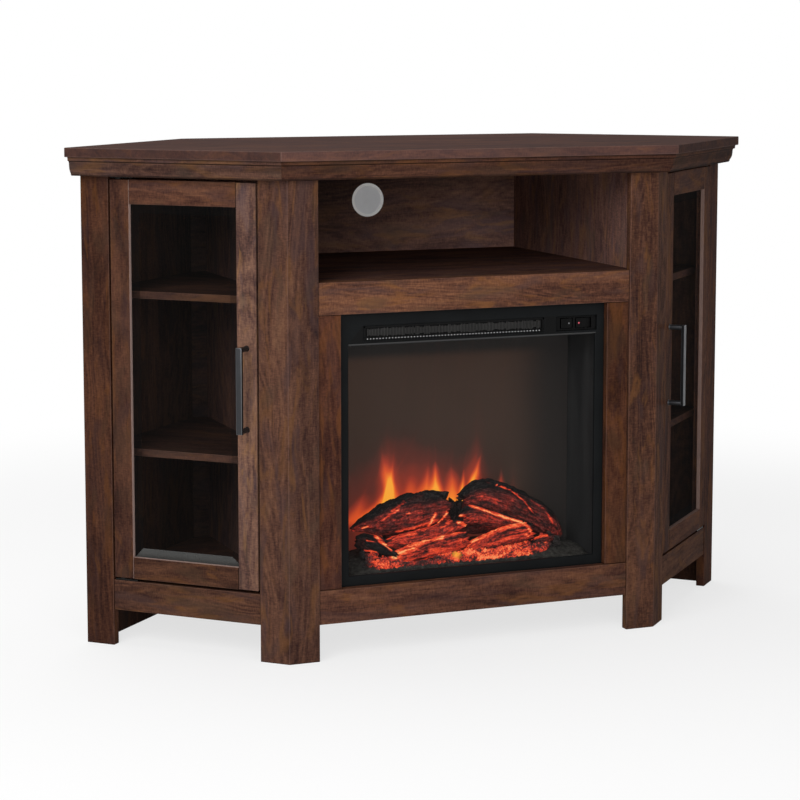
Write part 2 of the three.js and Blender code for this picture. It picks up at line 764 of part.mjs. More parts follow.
function logShape({ from, to, radii }) {
  const place = ([x, y, z]) => {
    const height = chamberBottom + z * bedBackHeight;
    return new THREE.Vector3(x * chamberHalf, glassBack + y * screenSetback, height);
  };
  const start = place(from);
  const end = place(to);
  const direction = end.clone().sub(start).normalize();
  const across = new THREE.Vector3(0, 0, 1).cross(direction).normalize();
  const up = direction.clone().cross(across);
  const rings = [start, end].map((centre, i) => Array.from({ length: logSides }, (_, side) => {
    const angle = (2 * Math.PI * side) / logSides;
    const radius = radii[i] * bedBackHeight;
    const offset = across.clone().multiplyScalar(Math.cos(angle)).addScaledVector(up, Math.sin(angle));
    return centre.clone().addScaledVector(offset, radius);
  }));
  return loft(rings);
}

function addFire() {
  addPart(plan, "ember_bed", bedShape(0), ember);
  const [first, ...rest] = logShares.map(logShape);
  addPart(plan, "log_set", cut(join(first, ...rest), bedShape(seat)), charredLog);
}

// Flicker rod behind the screen, with foil blades that throw the moving light

function addFlicker() {
  const motorHalf = motorSize / 2;
  const motorLeft = seat - chamberHalf;
  const motor = block([motorLeft, motorLeft + motorSize], [rodY - motorHalf, rodY + motorHalf], [rodZ - motorHalf, rodZ + motorHalf]);
  addPart(plan, "flicker_motor", motor, nickel);

  const rodLeft = motorLeft + motorSize + seat;
  const shaft = rod("x", rodRadius, [rodLeft, casingHalf], [rodY, rodZ]);
  const step = (chamberHalf - bladeReach - rodLeft) / bladeCount;
  const blades = Array.from({ length: bladeCount }, (_, i) => {
    const from = rodLeft + i * step + bladeReach / 2;
    const blade = block([from, from + step - bladeReach / 2], [-bladeReach, bladeReach], [-bladeThickness / 2, bladeThickness / 2]);
    return blade.rotateX((i * Math.PI) / 3).translate(0, rodY, rodZ);
  });
  addPart(plan, "flicker_rod", join(shaft, ...blades), foil);
}

// Fan heater behind the grille

function addHeater() {
  const left = grilleLeft;
  const right = grilleRight;
  const front = casingFront + housingGap;
  const back = front + housingDepth;
  const bottom = headerBottom + seat;
  const top = casingTop - sheet - seat;
  const wheelRadius = (top - bottom) / 2 - sheet - wheelClearance;
  const axis = [front + blowerDepthShare * housingDepth, (top + bottom) / 2];
  const housing = cut(
    block([left, right], [front, back], [bottom, top]),
    block([left + sheet, right - sheet], [front - overrun, back - sheet], [bottom + sheet, top - sheet]),
    rod("x", wheelShaftRadius + seat, [left - overrun, right + overrun], axis),
  );
  addPart(plan, "heater_housing", housing, paintedSteel);

  const elementRun = [left + sheet + seat, right - sheet - seat];
  const elementY = [front + sheet, front + sheet + elementDepth];
  const elementZ = [bottom + sheet + seat, top - sheet - seat];
  const finPitch = (elementRun[1] - elementRun[0]) / finCount;
  const gaps = Array.from({ length: finCount }, (_, i) => {
    const middle = elementRun[0] + (i + 1 / 2) * finPitch;
    const run = [middle - finPitch / 4, middle + finPitch / 4];
    return block(run, [elementY[0] - overrun, elementY[1] + overrun], [elementZ[0] + wheelClearance, elementZ[1] - wheelClearance]);
  });
  addPart(plan, "heater_element", cut(block(elementRun, elementY, elementZ), ...gaps), nickel);

  const wheelLeft = left + sheet + wheelClearance;
  const wheelRight = right - sheet - wheelClearance;
  const shaft = rod("x", wheelShaftRadius, [left, right], axis);
  const discs = [wheelLeft, (wheelLeft + wheelRight - sheet) / 2, wheelRight - sheet].map((x) => {
    return rod("x", wheelRadius, [x, x + sheet], axis);
  });
  const blades = Array.from({ length: wheelBladeCount }, (_, i) => {
    const depth = [wheelRadius - wheelClearance * 2, wheelRadius - sheet];
    const blade = block([wheelLeft, wheelRight], depth, [-sheet / 2, sheet / 2]);
    return blade.rotateX((2 * Math.PI * i) / wheelBladeCount).translate(0, ...axis);
  });
  addPart(plan, "blower_wheel", join(shaft, ...discs, ...blades), mouldedBlack);
}

function addCordInlet() {
  const centre = [cordHoleX, cordHoleZ];
  const barrel = rod("y", inletRadius, [casingBack - sheet - overrun, casingBack + inletReach], centre);
  const flange = rod("y", inletFlange, [casingBack + seat, casingBack + inletFlangeThickness], centre);
  addPart(plan, "cord_inlet", join(barrel, flange), mouldedBlack);
}

addTop();
addCornice();
addPosts();
addBackPanel();
addPanels();
addCabinetShelves();
addFaceFrame();
for (const hand of hands) {
  addDoor(hand);
  addHardware(hand);
}
addBezel();
addGrille();
addControls();
addCasing();
addFire();
addFlicker();
addHeater();
addCordInlet();

export default model;
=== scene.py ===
import math
import random

import bmesh
import bpy
import numpy as np
from mathutils import Matrix, Vector, noise


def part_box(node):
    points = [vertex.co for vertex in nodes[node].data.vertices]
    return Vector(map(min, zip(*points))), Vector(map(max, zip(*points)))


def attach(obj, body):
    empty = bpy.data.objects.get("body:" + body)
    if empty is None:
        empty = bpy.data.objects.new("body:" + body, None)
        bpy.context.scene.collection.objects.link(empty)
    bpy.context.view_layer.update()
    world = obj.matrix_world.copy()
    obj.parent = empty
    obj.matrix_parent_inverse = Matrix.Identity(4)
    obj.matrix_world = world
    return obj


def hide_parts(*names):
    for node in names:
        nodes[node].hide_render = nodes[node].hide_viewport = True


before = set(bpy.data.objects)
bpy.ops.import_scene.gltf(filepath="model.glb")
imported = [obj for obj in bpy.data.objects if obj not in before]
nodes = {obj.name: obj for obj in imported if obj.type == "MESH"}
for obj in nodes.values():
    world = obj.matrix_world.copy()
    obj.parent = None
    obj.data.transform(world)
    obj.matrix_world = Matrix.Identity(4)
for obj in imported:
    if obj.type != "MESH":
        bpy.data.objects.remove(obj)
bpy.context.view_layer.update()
mm = 0.001
rightward = Vector((1, 0, 0))
rearward = Vector((0, 1, 0))
up = Vector((0, 0, 1))
dice = random.Random(41)
print("frame loaded,", len(nodes), "nodes")


# Sockets in Python expressions

class Wire:
    def __init__(self, graph, socket):
        self.graph = graph
        self.socket = socket

    def math(self, operation, *values):
        return self.graph.add("ShaderNodeMath", {"operation": operation}, values)[0]

    def __add__(self, other):
        return self.math("ADD", self, other)

    def __radd__(self, other):
        return self.math("ADD", other, self)

    def __sub__(self, other):
        return self.math("SUBTRACT", self, other)

    def __rsub__(self, other):
        return self.math("SUBTRACT", other, self)

    def __mul__(self, other):
        return self.math("MULTIPLY", self, other)

    def __rmul__(self, other):
        return self.math("MULTIPLY", other, self)

    def __truediv__(self, other):
        return self.math("DIVIDE", self, other)

    def __pow__(self, other):
        return self.math("POWER", self, other)

    def __abs__(self):
        return self.math("ABSOLUTE", self)

    def atLeast(self, other):
        return self.math("MAXIMUM", self, other)

    def atMost(self, other):
        return self.math("MINIMUM", self, other)

    # A noise lies about 0.5: this is how far it moves something up or down
    def swing(self, share):
        return (self - 0.5) * share


class Outputs:
    def __init__(self, graph, node):
        self.graph = graph
        self.node = node

    def __getitem__(self, key):
        return Wire(self.graph, self.node.outputs[key])


class Graph:
    def __init__(self, tree):
        self.tree = tree

    # One node: its kind, its settings, then the values or links of its sockets
    def add(self, kind, settings=None, values=()):
        node = self.tree.nodes.new(kind)
        for name, value in (settings or {}).items():
            if name == "stops":
                self.setStops(node.color_ramp.elements, value)
            else:
                setattr(node, name, value)
        pairs = values.items() if isinstance(values, dict) else enumerate(values)
        for key, value in pairs:
            if isinstance(value, Wire):
                self.tree.links.new(value.socket, node.inputs[key])
            elif isinstance(value, list) and isinstance(value[0], Wire):
                for wire in reversed(value):
                    self.tree.links.new(wire.socket, node.inputs[key])
            elif value is not None:
                node.inputs[key].default_value = value
        return Outputs(self, node)

    def setStops(self, elements, stops):
        while len(elements) < len(stops):
            elements.new(1)
        for element, (place, color) in zip(elements, stops):
            element.position = place
            element.color = (*color, 1)

    def ramp(self, value, stops):
        return self.add("ShaderNodeValToRGB", {"stops": stops}, [value])[0]

    def mix(self, amount, first, second, blend="MIX"):
        settings = {"data_type": "RGBA", "blend_type": blend}
        first = first if isinstance(first, Wire) else (*first, 1)
        second = second if isinstance(second, Wire) else (*second, 1)
        return self.add("ShaderNodeMix", settings, {0: amount, 6: first, 7: second})[2]

    # One colour between two strengths of itself
    def vary(self, amount, color, low, high):
        return self.mix(amount, scaled(color, low), scaled(color, high))

    def step(self, value, low, high):
        settings = {"interpolation_type": "SMOOTHSTEP"}
        return self.add("ShaderNodeMapRange", settings, {0: value, 1: low, 2: high})[0]

    def vectorMath(self, operation, *values, output=0):
        return self.add("ShaderNodeVectorMath", {"operation": operation}, values)[output]

    def combine(self, *values):
        return self.add("ShaderNodeCombineXYZ", None, values)[0]

    def noise(self, vector, scale, detail=2.0, roughness=0.5, distortion=0.0):
        values = {"Vector": self.vectorMath("MULTIPLY", vector, scale), "Scale": 1.0, "Detail": detail}
        values.update({"Roughness": roughness, "Distortion": distortion})
        return self.add("ShaderNodeTexNoise", None, values)[0]

    # A noise of the table below
    def pattern(self, name, place=None):
        return self.noise(place or self.objectPlace(), *noiseTable[name])

    def objectPlace(self):
        return self.add("ShaderNodeTexCoord")["Object"]

    def attribute(self, name, output="Vector"):
        return self.add("ShaderNodeAttribute", {"attribute_name": name})[output]

    def bump(self, height, strength, distance):
        values = {"Strength": strength, "Distance": distance, "Height": height}
        return self.add("ShaderNodeBump", None, values)[0]


# The emptied node tree of a new material or world
def openGraph(owner):
    owner.use_nodes = True
    owner.node_tree.nodes.clear()
    return Graph(owner.node_tree)


def surface(graph, **values):
    sockets = {name.replace("_", " "): value for name, value in values.items()}
    for name in ("Base Color", "Emission Color"):
        if name in sockets and not isinstance(sockets[name], Wire):
            sockets[name] = (*sockets[name], 1)
    shader = graph.add("ShaderNodeBsdfPrincipled", None, sockets)[0]
    graph.add("ShaderNodeOutputMaterial", None, [shader])


def scaled(color, amount):
    return [min(value * amount, 1) for value in color]


# Wood

# Each wood: its roughness and coat, the share of a grey painted sheen mixed into its colour, and the
# colour of its eased edges, a painted highlight
woodLook = {
    "walnutFace": {"roughness": 0.52, "coat": 0.06, "wash": 0.0, "edge": (0.15, 0.085, 0.065)},
    "walnutTop": {"roughness": 0.6, "coat": 0.06, "wash": 0.4, "edge": (0.16, 0.10, 0.085)},
    "walnutPanel": {"roughness": 0.6, "coat": 0.03, "wash": 0.15, "edge": (0.12, 0.07, 0.05)},
}
# Each noise of the grain: its scales along, across and through a board, detail, roughness, distortion
grainNoises = {
    "cloud": ((3.4, 14, 14), 2.5, 0.55, 0.5),
    "patch": ((15, 48, 48), 3.0, 0.6, 0.7),
    "figure": ((2.3, 13, 13), 2.0, 0.45, 0.6),
    "streak": ((9, 210, 210), 2.0, 0.6, 0.3),
    "fleck": ((90, 330, 330), 2.0, 0.7),
    "pore": ((60, 900, 900), 1.0),
    "ripple": ((480, 150, 150), 1.5, 0.6),
    "violet": ((8, 30, 30), 2.0, 0.6, 0.8),
    "amber": ((11, 40, 40), 3.0, 0.6, 1.0),
    "moss": ((10, 26, 26), 2.0, 0.5, 0.5),
}
# How far each one darkens or lightens the wood
grainShares = {
    "cloud": 0.66, "patch": 0.34, "streak": 0.22, "fleck": 0.40,
    "pore": 0.22, "rings": 0.15, "ripple": 0.36,
}
grainStops = [
    (0.20, (0.020, 0.010, 0.009)),
    (0.38, (0.050, 0.021, 0.015)),
    (0.50, (0.080, 0.034, 0.022)),
    (0.62, (0.112, 0.048, 0.029)),
    (0.80, (0.165, 0.073, 0.040)),
]
# Patches of another hue in the stain: where their noise sets in, and their share
grainHues = {
    "violet": {"color": (0.056, 0.031, 0.030), "start": 0.48, "share": 0.5},
    "amber": {"color": (0.150, 0.061, 0.022), "start": 0.5, "share": 0.6, "spread": (0.75, 1.2)},
    "moss": {"color": (0.062, 0.037, 0.024), "start": 0.54, "share": 0.4},
}
grainLook = {
    "ringCount": 15,
    "hueFull": 0.7,
    "knot": {
        "color": (0.018, 0.013, 0.014), "cells": (3.1, 9.5, 9.5),
        "size": 0.13, "waver": 0.16, "share": 0.6,
    },
    # The grey of the painted sheen
    "wash": (0.095, 0.062, 0.055),
    # Dark seams, and painted shade in the cornice's grooves
    "grooveColor": (0.008, 0.005, 0.004),
    # The painted highlight on the lip round each pane
    "lipColor": (0.38, 0.268, 0.235),
    # The least share of each mark, and what the flecks add to it; the lighter colour of the eased edges
    # is a painted highlight
    "marks": {"eased": (0.1, 0.35), "groove": (0.7, 0), "lip": (0.7, 0.4)},
    "gloss": {"fleck": 0.14, "patch": 0.1},
    "relief": {"fleck": 0.7, "pore": 0.3, "streak": 0.4},
    "bump": (0.4, 0.2 * mm),  # strength and depth
    "coatRoughness": 0.34,
    "ior": 1.47,
}


# The grain attribute runs along a board in x, with metres as its unit
def walnut(g, look):
    shared = grainLook
    grain = g.attribute("grain")
    layer = {key: g.noise(grain, *values) for key, values in grainNoises.items()}
    figure = layer["figure"] * shared["ringCount"]
    layer["rings"] = abs(figure.math("FRACT", figure) - 0.5) * 2
    fleck = layer["fleck"]
    shade = 0.5
    for key, share in grainShares.items():
        shade = shade + layer[key].swing(share)
    color = g.ramp(shade, grainStops)
    for key, hue in grainHues.items():
        tint = g.vary(fleck, hue["color"], *hue["spread"]) if "spread" in hue else hue["color"]
        color = g.mix(g.step(layer[key], hue["start"], shared["hueFull"]) * hue["share"], color, tint)
    knot = shared["knot"]
    spots = {"Vector": g.vectorMath("MULTIPLY", grain, knot["cells"]), "Scale": 1.0}
    distance = g.add("ShaderNodeTexVoronoi", None, spots)["Distance"]
    mark = 1 - g.step(distance + layer["patch"].swing(knot["waver"]), 0.0, knot["size"])
    color = g.mix(mark * knot["share"], color, knot["color"])
    # A grey painted sheen, strongest on the top
    color = g.mix(look["wash"], color, shared["wash"])
    # Board tone with painted light and shade, multiplied in per corner
    color = g.mix(1.0, color, g.attribute("boardTone"), "MULTIPLY")
    # Eased edges and the lip take a painted highlight; seams take a dark colour and the cornice's grooves
    # painted shade
    hues = {"eased": look["edge"], "groove": shared["grooveColor"], "lip": shared["lipColor"]}
    for key, (least, flecked) in shared["marks"].items():
        share = least + fleck * flecked if flecked else least
        color = g.mix(g.attribute(key, "Fac") * share, color, hues[key])
    rough = look["roughness"]
    for key, share in shared["gloss"].items():
        rough = rough + layer[key].swing(share)
    height = 0.0
    for key, share in shared["relief"].items():
        height = height + layer[key] * share
    surface(
        g, Base_Color=color, Roughness=rough, IOR=shared["ior"], Specular_IOR_Level=0.0,
        Coat_Weight=look["coat"], Coat_Roughness=shared["coatRoughness"],
        Normal=g.bump(height, *shared["bump"]),
    )


# Metals, plastics and glass

# The noises of all other finishes: scales in x, y and z, detail, roughness, distortion
noiseTable = {
    "paintCloud": ((14, 14, 14), 3.0),
    "metalSmudge": ((70, 70, 70), 3.0),
    "plasticSmear": ((55, 55, 90), 3.0),
    "plasticPeel": ((900, 900, 900), 1.0),
    "glassSmear": ((9, 9, 5), 3.0, 0.55, 0.6),
    "lampSpread": ((700, 700, 700), 1.0),
    "steelCloud": ((9, 22, 3), 3.0),
    "steelGrit": ((1200, 1200, 1200), 1.0),
    "flameWaver": ((22, 22, 11), 2.0),
    "smoke": ((13, 13, 6), 3.0),
    "barkStreak": ((26, 210, 210), 3.0, 0.65, 0.6),
    "barkBlot": ((60, 110, 110), 3.0, 0.6, 0.8),
    "barkAsh": ((220, 340, 340), 2.0, 0.6),
    "coalLump": ((70, 70, 110), 3.0, 0.6, 0.5),
    "coalGrit": ((330, 330, 330), 2.0, 0.65),
    "ashClod": ((120, 120, 120), 3.0, 0.6),
    "ashDust": ((700, 700, 700), 2.0),
}


# spread: darkest and lightest share of the colour; swing: how far the noises move the roughness
finishLook = {
    "paint": {
        "spread": (0.85, 1.15), "clouds": (0.3, 0.7),
        "speck": 1.8, "speckShare": 0.5, "speckLeast": 0.1,
        "swing": (0.14, 0.08), "bump": (0.12, 0.1 * mm),
    },
    "metal": {
        "along": 90, "across": 2600, "detail": 2.0, "noiseRoughness": 0.6, "streaks": 0.6,
        "spread": (0.7, 1.35), "swing": (0.16, 0.2), "bump": (0.15, 0.05 * mm),
    },
    "plastic": {
        "spread": (0.85, 1.2), "smears": (0.45, 0.75), "smearRoughness": 0.1, "sheen": 0.06,
        "bump": (0.03, 0.05 * mm),
    },
    "glass": {"spread": (0.9, 1.1), "smears": (0.5, 0.8), "smearRoughness": 0.04, "ior": 1.5},
    "veil": (0.85, 0.3),  # the least share of a pane's alpha, and what its smears add
    "pane": {"spread": (0.8, 1.2), "roughness": 0.05},
    "lamp": {"spread": (0.7, 1.0), "base": (0.02, 0.02, 0.02), "roughness": 0.3},
    "steel": {
        "dark": (0.016, 0.0165, 0.017), "light": (0.030, 0.030, 0.030), "clouds": (0.35, 0.65),
        "roughness": 0.55, "swing": 0.2, "sheen": 0.12, "bump": (0.05, 0.05 * mm),
    },
}


# The last value makes the surface glow evenly, painted light
def satinPaint(g, color, roughness, grainSize, sheen, paintedGlow=0.0):
    look = finishLook["paint"]
    place = g.objectPlace()
    fine = g.noise(place, [1 / grainSize] * 3)
    soft = g.pattern("paintCloud", place)
    shade = g.vary(g.step(soft, *look["clouds"]), color, *look["spread"])
    speck = fine.swing(look["speckShare"]) + look["speckLeast"]
    softSwing, fineSwing = look["swing"]
    surface(
        g, Base_Color=g.mix(speck, shade, scaled(color, look["speck"])),
        Roughness=roughness + soft.swing(softSwing) + fine.swing(fineSwing),
        Specular_IOR_Level=sheen, Normal=g.bump(fine, *look["bump"]),
        Emission_Color=(1, 1, 1), Emission_Strength=paintedGlow,
    )


def brushedMetal(g, color, roughness, along, metallic=1.0):
    look = finishLook["metal"]
    place = g.objectPlace()
    scales = [look["along" if axis == along else "across"] for axis in "xyz"]
    streak = g.noise(place, scales, look["detail"], look["noiseRoughness"])
    smudge = g.pattern("metalSmudge", place)
    amount = streak * look["streaks"] + smudge * (1 - look["streaks"])
    streakSwing, smudgeSwing = look["swing"]
    surface(
        g, Base_Color=g.vary(amount, color, *look["spread"]),
        Roughness=roughness + streak.swing(streakSwing) + smudge.swing(smudgeSwing),
        Metallic=metallic, Normal=g.bump(streak, *look["bump"]),
    )


def glossPlastic(g, color, roughness):
    look = finishLook["plastic"]
    place = g.objectPlace()
    smear = g.pattern("plasticSmear", place)
    surface(
        g, Base_Color=g.vary(smear, color, *look["spread"]), Specular_IOR_Level=look["sheen"],
        Roughness=roughness + g.step(smear, *look["smears"]) * look["smearRoughness"],
        Normal=g.bump(g.pattern("plasticPeel", place), *look["bump"]),
    )


def clearGlass(g, color, alpha, roughness, shine):
    look, (least, more) = finishLook["glass"], finishLook["veil"]
    smear = g.pattern("glassSmear")
    surface(
        g, Base_Color=g.vary(smear, color, *look["spread"]), Alpha=alpha * (least + smear * more),
        Roughness=roughness + g.step(smear, *look["smears"]) * look["smearRoughness"],
        IOR=look["ior"], Specular_IOR_Level=shine,
    )


# A pane that is nearly all see-through: an even glow stands in for its reflection, a painted reflection
# that renders without grain
def thinPane(g, color, alpha, paintedReflection):
    look, (least, more) = finishLook["pane"], finishLook["veil"]
    smear = g.pattern("glassSmear")
    surface(
        g, Base_Color=(0, 0, 0), Roughness=look["roughness"], Alpha=alpha * (least + smear * more),
        Specular_IOR_Level=0.0,
        Emission_Color=g.vary(smear, color, *look["spread"]), Emission_Strength=paintedReflection,
    )


def glow(g, color, strength):
    look = finishLook["lamp"]
    lit = g.vary(g.pattern("lampSpread"), color, *look["spread"])
    surface(
        g, Base_Color=look["base"], Roughness=look["roughness"],
        Emission_Color=lit, Emission_Strength=strength,
    )


def heaterSteel(g):
    look = finishLook["steel"]
    place = g.objectPlace()
    soft = g.pattern("steelCloud", place)
    surface(
        g, Base_Color=g.mix(g.step(soft, *look["clouds"]), look["dark"], look["light"]),
        Roughness=look["roughness"] + soft.swing(look["swing"]), Specular_IOR_Level=look["sheen"],
        Normal=g.bump(g.pattern("steelGrit", place), *look["bump"]),
    )


# The screen behind the fire: a dark film, lit from behind, with flames thrown on it
screenLook = {
    "film": (0.020, 0.016, 0.014),
    "unlit": (0.004, 0.004, 0.004),
    "backlight": (0.030, 0.0155, 0.0098),
    "backlightEnds": (0.10, 0.20),  # it fades out between these x
    # The backlight fades out under the header: a painted shadow
    "backlightTop": (0.469, 0.450),  # and between these heights
    "haze": {
        "x": -0.055, "z": 0.185, "width": 0.21, "height": 0.19, "strength": 0.42,
        "billow": 0.7, "fade": 1.6, "cover": 0.75,
    },
    "smokeShares": (0.8, 0.4),
    "spread": (0.85, 1.15),
    "roughness": 0.7,
    "sheen": 0.1,
    # Each flame: its foot's x and z, height, half width, lean and strength, in metres
    "flames": [
        (-0.104, 0.216, 0.072, 0.0095, 0.16, 0.52),
        (-0.126, 0.202, 0.048, 0.016, 0.62, 0.42),
        (-0.100, 0.236, 0.078, 0.011, -0.14, 0.34),
        (-0.160, 0.192, 0.044, 0.024, 0.4, 0.36),
        (-0.061, 0.226, 0.036, 0.017, 0.1, 0.26),
        (-0.037, 0.218, 0.056, 0.014, 0.08, 0.46),
        (-0.018, 0.216, 0.066, 0.013, 0.02, 0.82),
        (0.012, 0.210, 0.066, 0.020, 0.05, 0.58),
        (0.032, 0.206, 0.058, 0.009, 0.06, 0.80),
        (0.047, 0.224, 0.066, 0.008, 0.3, 0.60),
        (0.104, 0.224, 0.040, 0.009, 0.02, 0.52),
        (0.128, 0.214, 0.066, 0.014, 0.0, 0.20),
        (-0.102, 0.215, 0.145, 0.022, 0.0, 0.24),
        (0.052, 0.215, 0.175, 0.022, 0.06, 0.24),
    ],
    "waver": 0.02,
    "taper": 0.7,  # how slowly a flame narrows
    "widest": 1.1,
    "swell": 1.15,
    "edge": (-0.35, 0.95),  # how soft its sides are
    "foot": (-0.5, 0.05),  # it sets in between these shares of its height
    "tipHeat": 0.25,
    "footHeat": 0.75,
    "stops": [
        (0.0, (0.0, 0.0, 0.0)),
        (0.12, (0.012, 0.0015, 0.0008)),
        (0.30, (0.085, 0.007, 0.003)),
        (0.48, (0.34, 0.026, 0.008)),
        (0.66, (0.70, 0.075, 0.010)),
        (0.84, (0.92, 0.20, 0.015)),
        (1.0, (1.0, 0.40, 0.03)),
    ],
}


def flameFilm(g):
    look, haze = screenLook, screenLook["haze"]
    place = g.objectPlace()
    axes = g.add("ShaderNodeSeparateXYZ", None, [place])
    x = axes[0] + g.pattern("flameWaver", place).swing(look["waver"])
    z = axes[2]
    heat = 0.0
    for footX, footZ, height, half, lean, strength in look["flames"]:
        rise = (z - footZ) / height
        taper = (1 - rise).atLeast(0.0) ** look["taper"]
        side = abs(x - footX - (z - footZ) * lean) / half
        width = taper.atMost(look["widest"]) * look["swell"]
        body = g.step(width - side, *look["edge"]) * g.step(rise, *look["foot"])
        heat = heat + body * (taper * look["footHeat"] + look["tipHeat"]).atMost(1.0) * strength
    across = (axes[0] - haze["x"]) / haze["width"]
    rise = (z - haze["z"]) / haze["height"]
    smoke = g.pattern("smoke", place)
    red = 1 - g.step(across * across + rise * rise + smoke.swing(haze["billow"]), 0.0, 1.0)
    heat = heat + red ** haze["fade"] * haze["strength"]
    # The backlight fades to the right, and under the header in a painted shadow
    lit = (1 - g.step(axes[0], *look["backlightEnds"])) * g.step(z, *look["backlightTop"])
    least, more = look["smokeShares"]
    lit = lit * (least + smoke * more) * (1 - red * haze["cover"])
    back = g.mix(lit, look["unlit"], look["backlight"])
    color = g.mix(1.0, g.ramp(heat.atMost(1.0), look["stops"]), back, "ADD")
    surface(
        g, Base_Color=g.vary(smoke, look["film"], *look["spread"]), Roughness=look["roughness"],
        Specular_IOR_Level=look["sheen"], Emission_Color=color, Emission_Strength=1.0,
    )


emberStops = [
    (0.16, (0.0, 0.0, 0.0)),
    (0.30, (0.030, 0.0035, 0.0025)),
    (0.44, (0.14, 0.010, 0.006)),
    (0.58, (0.52, 0.032, 0.012)),
    (0.74, (0.90, 0.075, 0.020)),
    (0.88, (1.0, 0.18, 0.055)),
    (1.0, (1.0, 0.44, 0.16)),
]
barkStops = [
    (0.36, (0.003, 0.0025, 0.0025)),
    (0.50, (0.008, 0.0068, 0.0064)),
    (0.64, (0.030, 0.025, 0.024)),
]
barkLook = {
    "heat": 0.98, "swing": {"barkStreak": 1.9, "barkBlot": 1.3, "barkAsh": 0.8},
    "roughness": 0.85, "sheen": 0.15, "streakRelief": 0.6, "bump": (0.7, 1.2 * mm),
}
ashStops = [
    (0.32, (0.014, 0.0135, 0.012)),
    (0.5, (0.040, 0.038, 0.034)),
    (0.7, (0.085, 0.081, 0.072)),
]
ashLook = {"clods": 0.6, "clodRelief": 0.7, "roughness": 0.95, "sheen": 0.05, "bump": (0.8, 2.0 * mm)}


# Charred wood: barkPlace runs along a log in x, and emberHeat says how much of it glows
def charredWood(g):
    look = barkLook
    place = g.attribute("barkPlace")
    layer = {key: g.pattern(key, place) for key in look["swing"]}
    glowing = look["heat"]
    for key, share in look["swing"].items():
        glowing = glowing + layer[key].swing(share)
    level = g.attribute("emberHeat", "Fac") * glowing
    streak, ash = layer["barkStreak"], layer["barkAsh"]
    relief = streak * look["streakRelief"] + ash * (1 - look["streakRelief"])
    surface(
        g, Base_Color=g.ramp((streak + ash) * 0.5, barkStops), Roughness=look["roughness"],
        Emission_Color=g.ramp(level.atLeast(0.0).atMost(1.0), emberStops), Emission_Strength=1.0,
        Specular_IOR_Level=look["sheen"], Normal=g.bump(relief, *look["bump"]),
    )


coalLook = {
    # How much the bed glows along its length, as x in metres and a share of 1
    "glow": [
        (-0.178, 0.0), (-0.162, 0.56), (-0.124, 0.54), (-0.112, 0.36), (-0.066, 0.32), (-0.048, 0.50),
        (0.0, 0.56), (0.024, 0.68), (0.112, 0.68), (0.119, 0.32), (0.126, 0.52), (0.146, 0.44),
        (0.164, 0.0),
    ],
    "heat": 1.02, "lumpSwing": 3.0, "gritSwing": 2.0,
    "roughness": 0.9, "sheen": 0.1, "bump": (0.6, 0.8 * mm),
    "crust": ((0.010, 0.008, 0.008), (0.05, 0.042, 0.04)),
    "hottest": 0.92,
    "flare": {"place": (-0.018, -0.198, 0.144), "size": 0.012, "gain": 1.5, "color": (1.0, 0.45, 0.03)},
}


def glowingCoal(g):
    look, flare = coalLook, coalLook["flare"]
    place = g.objectPlace()
    x = g.add("ShaderNodeSeparateXYZ", None, [place])[0]
    start, end = look["glow"][0][0], look["glow"][-1][0]
    stops = [((mark - start) / (end - start), [value] * 3) for mark, value in look["glow"]]
    base = g.ramp((x - start) / (end - start), stops)
    lump, fine = g.pattern("coalLump", place), g.pattern("coalGrit", place)
    level = base * (look["heat"] + lump.swing(look["lumpSwing"]) + fine.swing(look["gritSwing"]))
    color = g.ramp(level.atLeast(0.0).atMost(look["hottest"]), emberStops)
    spot = g.vectorMath("DISTANCE", place, flare["place"], output="Value")
    near = (1 - g.step(spot + fine.swing(flare["size"]), 0.0, flare["size"])) * lump * flare["gain"]
    surface(
        g, Base_Color=g.mix(fine, *look["crust"]), Roughness=look["roughness"],
        Emission_Color=g.mix(near.atMost(1.0), color, flare["color"]), Emission_Strength=1.0,
        Specular_IOR_Level=look["sheen"], Normal=g.bump(fine, *look["bump"]),
    )


def ashBed(g):
    look = ashLook
    place = g.objectPlace()
    clod, dust = g.pattern("ashClod", place), g.pattern("ashDust", place)
    shade, relief = [clod * share + dust * (1 - share) for share in (look["clods"], look["clodRelief"])]
    surface(
        g, Base_Color=g.ramp(shade, ashStops), Roughness=look["roughness"],
        Specular_IOR_Level=look["sheen"], Normal=g.bump(relief, *look["bump"]),
    )


